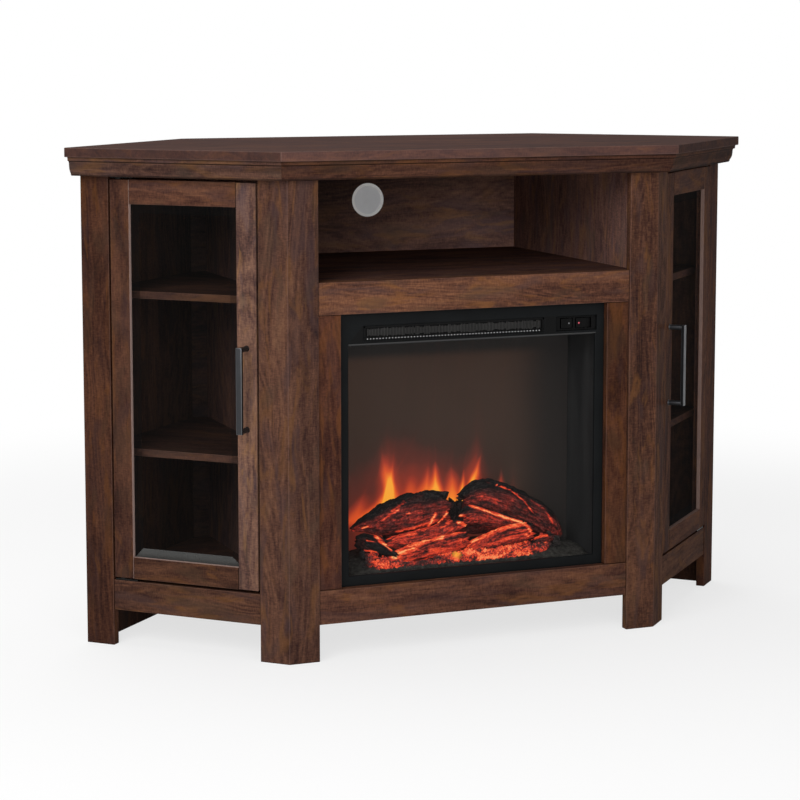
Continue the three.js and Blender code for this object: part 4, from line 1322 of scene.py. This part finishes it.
def pressChannel(bm):
    shape = channelShape
    low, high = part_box("bezel")
    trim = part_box("header_trim")
    x = (low.x + shape["side"], high.x - shape["side"])
    z = (trim[1].z + shape["foot"], high.z - shape["top"])

    def onFront(face):
        middle = face.calc_center_median()
        ahead = face.normal.y < -nearness["flat"] and middle.y < low.y + shape["sameFace"]
        return ahead and middle.z > trim[0].z

    for place, axis in [(level, rightward) for level in x] + [(level, up) for level in z]:
        cutAlong(bm, axis * place, axis, [face for face in bm.faces if onFront(face)])
    for face in bm.faces:
        middle = face.calc_center_median()
        if onFront(face) and x[0] < middle.x < x[1] and z[0] < middle.z < z[1]:
            face.material_index = 1


def makeRocker(node, body, lamp):
    shape = rockerShape
    bm = easedCopy(node, *shape["ease"])
    finishPiece(f"{node}_cap", bm, "glossBlack", body, [node])
    low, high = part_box(node)
    mesh = nodes[node].data
    ahead = [face for face in mesh.polygons if face.normal.y < -nearness["rocker"]]
    face = max(ahead, key=lambda item: item.area)
    middle = sum((mesh.vertices[i].co for i in face.vertices), Vector()) / len(face.vertices)
    middle.z = (low.z + high.z) / 2
    start = middle - face.normal * shape["lampSunk"]
    end = middle + face.normal * shape["lampProud"]
    bm = bmesh.new()
    addTube(bm, start, end, shape["lampFoot"], shape["lampHead"], shape["facets"])
    finishPiece(f"{node}_lamp", bm, lamp, body)


# Vent: fine upright slats in a frame, over a row of small studs that glow as a painted glint

ventShape = {
    "border": 3.2 * mm, "recess": 3.2 * mm, "back": 0.5 * mm, "foot": 0.8 * mm,
    "divider": (4.4 * mm, 5.9 * mm), "ease": 0.3 * mm,
    "slats": {
        "Count": 118, "Pitch": 2.55 * mm, "Width": 1.05 * mm, "Depth": 2.2 * mm,
        "Height": 14.4 * mm, "Unevenness": 0.4, "Seed": 5,
    },
    "slatPlace": (1.4 * mm, 13.1 * mm),  # behind the front and above the foot of the vent
    "studs": {"Count": 57, "Pitch": 5.33 * mm, "Radius": 0.85 * mm, "Depth": 0.8 * mm},
    "studPlace": (2.9 * mm, 2.6 * mm),
    "studFacets": 12,
}


def slatWiring(g, source):
    size = g.combine(source["Width"], source["Depth"], source["Height"])
    slat = g.add("GeometryNodeMeshCube", None, {"Size": size})[0]
    chance = g.add("FunctionNodeRandomValue", {"data_type": "FLOAT"}, {"Seed": source["Seed"]})[1]
    height = 1 - chance * source["Unevenness"]
    return rowInstances(g, source, slat, Scale=g.combine(1.0, 1.0, height))


def studWiring(g, source):
    values = {"Vertices": ventShape["studFacets"], "Radius": source["Radius"], "Depth": source["Depth"]}
    stud = g.add("GeometryNodeMeshCylinder", None, values)[0]
    return rowInstances(g, source, stud, Rotation=(math.pi / 2, 0.0, 0.0))


def makeVent():
    shape = ventShape
    low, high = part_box("vent_grille")
    x, y, z = (low.x, high.x), (low.y, high.y - shape["back"]), (low.z, high.z)
    bm = bmesh.new()
    for spans in (
        (x, (low.y + shape["recess"], high.y), z),
        (x, y, (high.z - shape["border"], high.z)),
        (x, y, (low.z, low.z + shape["foot"])),
        (x, y, [low.z + level for level in shape["divider"]]),
        ((low.x, low.x + shape["border"]), y, z),
        ((high.x - shape["border"], high.x), y, z),
    ):
        addBox(bm, spans)
    easeEdges(bm, shape["ease"])
    finishPiece("vent_frame", bm, "channelBlack", "carcass", ["vent_grille"])
    base = bpy.data.meshes.new("vent_base")
    for key, wiring, (behind, above), material, slot in (
        ("slats", slatWiring, shape["slatPlace"], "slatBlack", "moulded_black"),
        ("studs", studWiring, shape["studPlace"], "studGlow", "bright_trim"),
    ):
        shift = ((low.x + high.x) / 2, low.y + behind, low.z + above)
        growPiece(f"vent_{key}", base, shape[key], wiring, material, shift)


# Fire: logs with split ends, coals heaped on a bed of ash.
# A log runs through its stations: x, depth behind the front, height and radius, in millimetres.
# jag is how far its two ends are splintered, glow how red its body is.
logShapes = {
    "backLeft": {
        "jag": (4, 15), "glow": 0.40, "stations": [
            (-184, 86, 189, 4), (-172, 86, 193, 10), (-158, 87, 196, 16), (-140, 88, 198, 22),
            (-113, 89, 203, 29), (-82, 90, 208, 33), (-52, 92, 210, 32), (-34, 93, 211, 29),
            (-20, 94, 211, 25),
        ],
    },
    "stump": {
        "jag": (2, 9), "glow": 0.16,
        "stations": [(-8, 104, 158, 19), (-3, 104, 176, 19), (3, 104, 196, 18), (7, 103, 216, 14)],
    },
    "backRight": {
        "jag": (14, 5), "glow": 0.35, "stations": [
            (16, 99, 220, 15), (28, 99, 222, 22), (42, 99, 224, 27), (60, 98, 222, 29), (84, 97, 214, 29),
            (113, 96, 202, 28), (143, 94, 187, 26), (166, 92, 171, 22), (181, 91, 157, 15),
            (189, 90, 147, 7),
        ],
    },
    "innerRight": {
        "jag": (9, 3), "glow": 0.46, "stations": [
            (5, 74, 197, 12), (22, 74, 200, 17), (40, 74, 196, 17), (63, 73, 189, 14), (88, 72, 183, 10),
            (114, 71, 178, 5),
        ],
    },
    "innerLeft": {
        "jag": (5, 6), "glow": 0.50, "stations": [
            (-133, 62, 166, 6), (-120, 63, 167, 10), (-100, 64, 168, 12), (-75, 65, 170, 14),
            (-44, 67, 176, 14), (-15, 69, 184, 12), (4, 70, 188, 8),
        ],
    },
    "crossRight": {
        "jag": (5, 10), "glow": 0.52, "stations": [
            (6, 57, 148, 7), (24, 57, 152, 12), (48, 57, 157, 15), (80, 58, 163, 17), (106, 59, 166, 17),
            (122, 60, 167, 13),
        ],
    },
    "crossLeft": {
        "jag": (5, 7), "glow": 0.56, "stations": [
            (-146, 52, 140, 6), (-130, 52, 143, 10), (-110, 53, 147, 13), (-79, 54, 151, 16),
            (-48, 56, 156, 17), (-16, 58, 160, 17), (6, 60, 163, 13),
        ],
    },
    "twig": {
        "jag": (4, 4), "glow": 0.12,
        "stations": [(-173, 52, 174, 4), (-159, 51, 167, 7), (-138, 48, 157, 7), (-121, 46, 149, 4)],
    },
    "leftHeap": {
        "jag": (3, 3), "glow": 0.22, "stations": [
            (-181, 74, 172, 8), (-170, 73, 170, 15), (-154, 72, 162, 18), (-132, 70, 156, 15),
            (-112, 70, 150, 9),
        ],
    },
    "cinderRight": {
        "jag": (4, 4), "glow": 0.36,
        "stations": [(122, 62, 140, 8), (137, 62, 145, 11), (151, 63, 151, 9), (166, 66, 152, 6)],
    },
    "rearFill": {
        "jag": (2, 2), "glow": 0.3, "stations": [
            (-120, 104, 165, 12), (-60, 106, 172, 14), (20, 106, 178, 16), (90, 106, 172, 14),
            (140, 105, 162, 9),
        ],
    },
}
# Bright lines on the logs: half width, strength, then x and height on the way, in millimetres
hotLines = {
    "backLeft": [
        (1.3, 0.3, [(-122, 218), (-108, 224), (-96, 230)]),
        (2.2, 0.12, [(-90, 233), (-76, 237), (-60, 238)]),
        (1.5, 0.42, [(-169, 191), (-160, 194)]),
        (1.2, 0.24, [(-139, 203), (-124, 212), (-108, 220)]),
        (1.1, 0.3, [(-104, 207), (-92, 213)]),
        (3.0, 0.18, [(-110, 182), (-85, 187), (-60, 191), (-40, 196)]),
        (2.6, 0.34, [(-54, 188), (-50, 198), (-46, 207)]),
        (2.4, 0.40, [(-34, 189), (-28, 198), (-23, 207)]),
    ],
    "backRight": [
        (1.1, 0.24, [(59, 247), (77, 241), (96, 233), (108, 225)]),
        (1.2, 0.38, [(73, 243), (96, 233), (114, 218), (134, 194)]),
        (1.8, 0.16, [(133, 214), (156, 198), (169, 175)]),
        (5.0, 0.08, [(36, 228), (58, 222), (84, 212)]),
    ],
    "innerRight": [
        (2.5, 0.42, [(17, 216), (35, 210), (57, 202), (83, 191), (109, 182)]),
        (2.0, 0.32, [(-6, 203), (8, 199)]),
        (1.6, 0.3, [(28, 178), (50, 176)]),
    ],
    "innerLeft": [
        (3.2, 0.38, [(-132, 174), (-110, 177), (-85, 181), (-60, 186), (-35, 189), (-19, 194)]),
        (3.0, 0.42, [(-7, 191), (4, 187), (14, 182)]),
    ],
    "crossRight": [
        (4.6, 0.52, [(5, 156), (21, 163), (44, 172), (76, 180), (111, 184)]),
        (2.4, 0.3, [(13, 166), (26, 171)]),
        (3.4, 0.40, [(106, 184), (113, 178), (118, 168)]),
        (2.2, 0.1, [(90, 176), (104, 168), (114, 160)]),
    ],
    "crossLeft": [
        (5.4, 0.52, [(-128, 150), (-105, 158), (-84, 165), (-62, 171), (-42, 174)]),
        (4.8, 0.50, [(-36, 176), (-18, 178), (1, 179)]),
        (3.0, 0.14, [(-116, 137), (-84, 134), (-56, 140)]),
    ],
    "twig": [
        (1.6, 0.5, [(-172, 177), (-155, 174)]),
        (3.0, 0.62, [(-145, 172), (-138, 165), (-132, 160)]),
    ],
    "leftHeap": [
        (4.2, 0.5, [(-150, 178), (-142, 170), (-134, 163)]),
        (1.6, 0.4, [(-172, 158), (-149, 156)]),
    ],
    "cinderRight": [
        (1.9, 0.44, [(123, 152), (141, 157), (153, 158)]),
        (2.4, 0.36, [(128, 138), (138, 142), (148, 146)]),
    ],
}
logGrid = {
    "ringStep": 1.3 * mm,
    "fewestRings": 12,
    "facets": 96,
    # The hollow break at each end: share of the radius, and how far it is sunk, in radii
    "closing": [(0.30, 0.35), (0.72, 0.12)],
    "bendRings": 3,  # a ring's direction is taken over this many to each side
    "flatness": 0.85,  # depth of a log's section against its height
    "seedStep": 7.3,
}
barkShape = {
    # Each noise: how close it is along the log and round it, and its share of the radius
    "lump": (26, 0.9, 0.15), "chip": (95, 2.3, 0.11), "ridge": (30, 6.5, 0.13), "grit": (320, 12, 0.04),
    "cleft": 1.8,
    "broken": 0.98,  # the ends have no bark
}
splinterShape = {"reach": 16 * mm, "coarse": 3.1, "fine": 9, "fineShare": 0.8, "fineSeed": 9}
logHeat = {
    "gain": 1.08, "topFrom": 1.08, "topFade": 0.6,  # a log's top is out
    "hidden": 0.45, "shown": 0.55, "lineGain": 1.35,
}


def lineDistance(points, line):
    best = np.full(len(points), np.inf)
    for start, end in zip(line, line[1:]):
        start, end = np.array(start) * mm, np.array(end) * mm
        way = end - start
        share = np.clip(((points - start) @ way) / (way @ way), 0, 1)
        best = np.minimum(best, np.linalg.norm(points - (start + share[:, None] * way), axis=1))
    return best


# The radius of the bark at a place, against the log's own radius
def barkSwell(along, cosine, sine, seed):
    seeds = {"lump": (seed, 0, 0), "chip": (0, seed, 0), "ridge": (0, seed, 0), "grit": (0, 0, seed)}
    value = {}
    for key, (x, y, z) in seeds.items():
        lengthwise, around, share = barkShape[key]
        place = (along * lengthwise + x, cosine * around + y, sine * around + z)
        value[key] = noise.noise(Vector(place)) * share
    return 1 + value["lump"] + value["chip"] - abs(value["ridge"]) * barkShape["cleft"] + value["grit"]


def splinterNoise(cosine, sine, seed):
    shape = splinterShape
    coarse = Vector((cosine * shape["coarse"], sine * shape["coarse"], seed))
    fine = Vector((cosine * shape["fine"], sine * shape["fine"], seed + shape["fineSeed"]))
    return noise.noise(coarse) + shape["fineShare"] * noise.noise(fine)


def bodyHeat(offset, glow):
    heat = logHeat
    dim = min(max((heat["topFrom"] - offset.z) / heat["topFade"], 0), 1)
    return heat["gain"] * glow * dim * (heat["hidden"] + heat["shown"] * max(-offset.y, 0))


# One log's points, with the place of its bark and its heat at each, and its faces
def growLog(key, shape, seed):
    grid = logGrid
    points, faces, barks, heats = [], [], [], []
    stations = np.array(shape["stations"], float) * mm
    stations[:, 1] += front
    reach = np.concatenate([[0], np.cumsum(np.linalg.norm(np.diff(stations[:, :3], axis=0), axis=1))])
    length = reach[-1]
    count = max(int(length / grid["ringStep"]), grid["fewestRings"])
    marks = np.linspace(0, length, count)
    path = np.stack([np.interp(marks, reach, stations[:, i]) for i in range(4)], axis=1)
    startJag, endJag = [value * mm for value in shape["jag"]]
    order = [(0, share, -sink) for share, sink in grid["closing"]] + [(i, 1, 0) for i in range(count)]
    order += [(count - 1, share, sink) for share, sink in grid["closing"][::-1]]
    angles = [2 * math.pi * i / grid["facets"] for i in range(grid["facets"])]
    for index, share, sink in order:
        behind, ahead = max(index - grid["bendRings"], 0), min(index + grid["bendRings"], count - 1)
        way = Vector(path[ahead, :3] - path[behind, :3]).normalized()
        across = way.cross(rearward).normalized()
        outward = across.cross(way).normalized()
        centre = Vector(path[index, :3])
        radius, mark = path[index, 3], marks[index]
        nearStart = max(1 - mark / splinterShape["reach"], 0)
        nearEnd = max(1 - (length - mark) / splinterShape["reach"], 0)
        for angle in angles:
            cosine, sine = math.cos(angle), math.sin(angle)
            bark = barkSwell(mark, cosine, sine, seed) if share == 1 else barkShape["broken"]
            splinter = splinterNoise(cosine, sine, seed)
            slide = endJag * splinter * nearEnd - startJag * splinter * nearStart - sink * radius
            offset = across * sine + outward * cosine * grid["flatness"]
            points.append(centre + offset * (radius * bark * share) + way * slide)
            barks.append((mark + seed, cosine * radius, sine * radius))
            heats.append(bodyHeat(offset, shape["glow"]))
    facets = grid["facets"]
    turns = [(i, (i + 1) % facets) for i in range(facets)]
    rings = range(0, len(points), facets)
    for a, b in zip(rings, rings[1:]):
        faces += [(a + i, a + j, b + j, b + i) for i, j in turns]
    for ring in (rings[0], rings[-1]):
        middle = len(points)
        points.append(sum(points[ring:ring + facets], Vector()) / facets)
        barks.append(barks[ring])
        heats.append(heats[ring])
        pairs = turns if ring else [(j, i) for i, j in turns]
        faces += [(middle, ring + i, ring + j) for i, j in pairs]
    flat = np.array([(point.x, point.z) for point in points])
    for half, strength, line in hotLines.get(key, []):
        distance = lineDistance(flat, line) / (half * mm)
        heats = heats + np.exp(-distance ** 3) * strength * logHeat["lineGain"]
    return points, faces, barks, list(heats)


def makeLogs():
    points, faces, barks, heats = [], [], [], []
    for number, (key, shape) in enumerate(logShapes.items(), 1):
        ownPoints, ownFaces, ownBarks, ownHeats = growLog(key, shape, logGrid["seedStep"] * number)
        faces += [[len(points) + i for i in face] for face in ownFaces]
        points += ownPoints
        barks += ownBarks
        heats += ownHeats
    mesh = bpy.data.meshes.new("charred_logs")
    mesh.from_pydata(points, [], faces)
    bm = bmesh.new()
    bm.from_mesh(mesh)
    bmesh.ops.recalc_face_normals(bm, faces=bm.faces)
    bm.to_mesh(mesh)
    bm.free()
    setAttribute(mesh, "barkPlace", "POINT", barks)
    setAttribute(mesh, "emberHeat", "POINT", heats)
    mesh.shade_smooth()
    finishPiece("charred_logs", mesh, "charredWood", "carcass", ["log_set"])


coalShape = {
    "heap": {"Size": 3.7 * mm, "Seed": 11},
    "lumpScale": 260.0,
    "lumpPush": 1.7,  # in radii of a coal
    "turn": 6.28,
    "least": (0.8, 0.6, 0.55),
    "most": (1.7, 1.1, 0.95),
    "uneven": (0.75, 1.25),
    "depthByHeight": 0.7,  # the higher a coal lies, the farther back
    # Each row: x, height and depth behind the front in millimetres, number of coals, size
    "rows": [
        ((-157, -114), (130, 145), (40, 50), 84, 1.15),
        ((-114, -56), (128, 136), (40, 48), 84, 0.85),
        ((-56, 4), (130, 143), (40, 52), 120, 1.05),
        ((4, 98), (131, 146), (40, 52), 230, 1.1),
        ((98, 118), (131, 143), (42, 54), 30, 1.1),
        ((124, 146), (134, 146), (44, 58), 26, 1.2),
        ((146, 176), (136, 158), (50, 74), 30, 1.1),
        ((-178, -150), (134, 156), (46, 64), 30, 1.1),
        ((-140, 130), (138, 148), (52, 66), 110, 1.1),
    ],
}


def coalWiring(g, source):
    shape = coalShape

    def chance(least, most, seed):
        values = {0: least, 1: most, "Seed": seed}
        return g.add("FunctionNodeRandomValue", {"data_type": "FLOAT_VECTOR"}, values)[0]

    values = {"Radius": source["Size"], "Subdivisions": 2}
    ball = g.add("GeometryNodeMeshIcoSphere", None, values)[0]
    place = g.add("GeometryNodeInputPosition")[0]
    values = {"Vector": place, "Scale": shape["lumpScale"], "Detail": 2.0}
    lump = g.vectorMath("SUBTRACT", g.add("ShaderNodeTexNoise", None, values)[1], (0.5, 0.5, 0.5))
    push = g.vectorMath("SCALE", lump, None, None, source["Size"] * shape["lumpPush"])
    chunk = g.add("GeometryNodeSetPosition", None, {"Geometry": ball, "Offset": push})[0]
    spin = chance([0.0] * 3, [shape["turn"]] * 3, source["Seed"])
    grow = chance(shape["least"], shape["most"], source["Seed"] + 1)
    bulk = g.add("GeometryNodeInputNamedAttribute", {"data_type": "FLOAT"}, ["bulk"])[0]
    grow = g.vectorMath("SCALE", grow, None, None, bulk)
    return instances(g, source["Geometry"], chunk, Rotation=spin, Scale=grow)


def makeCoals():
    places, bulks = [], []
    byHeight = coalShape["depthByHeight"]
    for (left, right), (low, high), (near, far), count, size in coalShape["rows"]:
        for i in range(count):
            x = left + (right - left) * (i + dice.random()) / count
            rise = dice.random()
            depth = near + (far - near) * ((1 - byHeight) * dice.random() + byHeight * rise)
            places.append((Vector((x * mm, front + depth * mm, (low + (high - low) * rise) * mm)), up))
            bulks.append(size * dice.uniform(*coalShape["uneven"]))
    base = pointMesh("coal_points", places)
    setAttribute(base, "bulk", "POINT", bulks)
    growPiece("coal_heap", base, coalShape["heap"], coalWiring, "glowingCoal")


# The bed keeps its solid's outline, roughened on top and in front, and runs out low to the walls
bedShape = {
    "step": 4.4 * mm, "rough": 2.4 * mm, "skin": 1 * mm, "spreadFrom": 150 * mm, "reach": 222 * mm,
    "sink": 0.45, "topScale": 95, "topFractal": (0.9, 2.1, 3), "frontScale": 160,
}


def makeBed():
    shape = bedShape
    bm = nodeCopy("ember_bed")
    low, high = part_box("ember_bed")
    for axis in (rightward, rearward, up):
        start, end = low.dot(axis), high.dot(axis)
        count = int((end - start) / shape["step"])
        for i in range(1, count):
            cutAlong(bm, axis * (start + (end - start) * i / count), axis)
    begin = shape["spreadFrom"]
    for vertex in bm.verts:
        share = max(abs(vertex.co.x) - begin, 0) / (high.x - begin)
        vertex.co.x += math.copysign(share * (shape["reach"] - high.x), vertex.co.x)
        vertex.co.z -= (vertex.co.z - low.z) * shape["sink"] * min(share, 1)
    for vertex in bm.verts:
        if vertex.co.z > low.z + shape["skin"]:
            place = vertex.co.copy()
            push = noise.fractal(place * shape["topScale"], *shape["topFractal"])
            vertex.co.z -= abs(push) * shape["rough"]
            if place.y < low.y + shape["skin"]:
                vertex.co.y += abs(noise.noise(vertex.co * shape["frontScale"])) * shape["rough"]
    bmesh.ops.recalc_face_normals(bm, faces=bm.faces)
    finishPiece("ash_bed", bm, "ashBed", "carcass", ["ember_bed"], smooth=True)


# Solids that show as they are
plainNodes = {
    "firebox_casing": "casingSteel",
    "flame_screen": "flameFilm",
    "flicker_motor": "nickel",
    "flicker_rod": "foil",
    "heater_housing": "casingSteel",
    "heater_element": "nickel",
    "blower_wheel": "mouldedBlack",
    "cord_inlet": "mouldedBlack",
}


def coatPlainNodes():
    for node, key in plainNodes.items():
        for slot in nodes[node].material_slots:
            slot.link = "OBJECT"
            slot.material = materials[key]


dressCarcass()
print("carcass boards dressed")
makeCornice()
print("cornice made")
dressDoors()
print("doors dressed")
dressHardware()
makeFasteners()
makeShelfPins()
makeHoleShadeDisc()
print("hardware dressed")
dressInsert()
makeVent()
print("insert front dressed")
makeLogs()
makeCoals()
makeBed()
print("fire made")
coatPlainNodes()


# Camera, stage and lights

viewpoint = {
    "place": (-1.4805, -3.5706, 0.9643),
    "yaw": 22.013,  # degrees to the right of +Y
    "pitch": -6.792,
    "lens": 103.6,
    "sensor": 36,
    "shift": -0.1,
}
lamps = {
    "keyLeft": {"place": (-2.6, -2.4, 2.3), "size": 2.2, "power": 92},
    "fillFront": {"place": (-0.6, -3.6, 1.1), "size": 2.4, "power": 46},
    "overhead": {"place": (-0.2, 0.7, 2.8), "size": 2.4, "power": 46},
}
lampTarget = Vector((0, 0, 0.4))
worldGrey = 0.2
white = (1, 1, 1, 1)
floorLook = {"size": 14, "paint": (0.9, 0.9, 0.9, 1), "white": 0.72, "near": 1.0, "far": 2.2}


def makeCamera():
    view = viewpoint
    data = bpy.data.cameras.new("camera")
    data.lens, data.sensor_width, data.shift_y = view["lens"], view["sensor"], view["shift"]
    camera = addObject("camera", data)
    camera.location = view["place"]
    camera.rotation_euler = (math.radians(90 + view["pitch"]), 0, -math.radians(view["yaw"]))
    bpy.context.scene.camera = camera


# White wherever the camera, a reflection or glass looks, plain grey light otherwise
def seenRays(g):
    path = g.add("ShaderNodeLightPath")
    seen = path["Is Camera Ray"] + path["Is Glossy Ray"] + path["Is Transmission Ray"]
    return seen.atMost(1.0)


def makeLights():
    for name, lamp in lamps.items():
        data = bpy.data.lights.new(name, "AREA")
        data.size, data.energy = lamp["size"], lamp["power"]
        light = addObject(name, data)
        light.location = lamp["place"]
        light.rotation_euler = (lampTarget - light.location).to_track_quat("-Z", "Y").to_euler()
    world = bpy.data.worlds.new("studio")
    g = openGraph(world)
    dim = g.add("ShaderNodeBackground", None, [white, worldGrey])[0]
    bright = g.add("ShaderNodeBackground", None, [white, 1.0])[0]
    both = g.add("ShaderNodeMixShader", None, [seenRays(g), dim, bright])[0]
    g.add("ShaderNodeOutputWorld", None, [both])
    bpy.context.scene.world = world


def makeFloor():
    look = floorLook
    bm = bmesh.new()
    bmesh.ops.create_grid(bm, x_segments=1, y_segments=1, size=look["size"])
    mesh = toMesh("floor", bm)
    material = bpy.data.materials.new("paleFloor")
    g = openGraph(material)
    reach = g.vectorMath("LENGTH", g.objectPlace(), output="Value")
    share = look["white"] + g.step(reach, look["near"], look["far"]) * (1 - look["white"])
    paint = g.add("ShaderNodeBsdfDiffuse", None, [look["paint"]])[0]
    light = g.add("ShaderNodeEmission", None, [white, 1.0])[0]
    both = g.add("ShaderNodeMixShader", None, [seenRays(g) * share, paint, light])[0]
    g.add("ShaderNodeOutputMaterial", None, [both])
    mesh.materials.append(material)
    floor = addObject("floor", mesh)


makeCamera()
makeLights()
makeFloor()
bpy.context.scene.view_settings.view_transform = "Standard"
print("stage made")
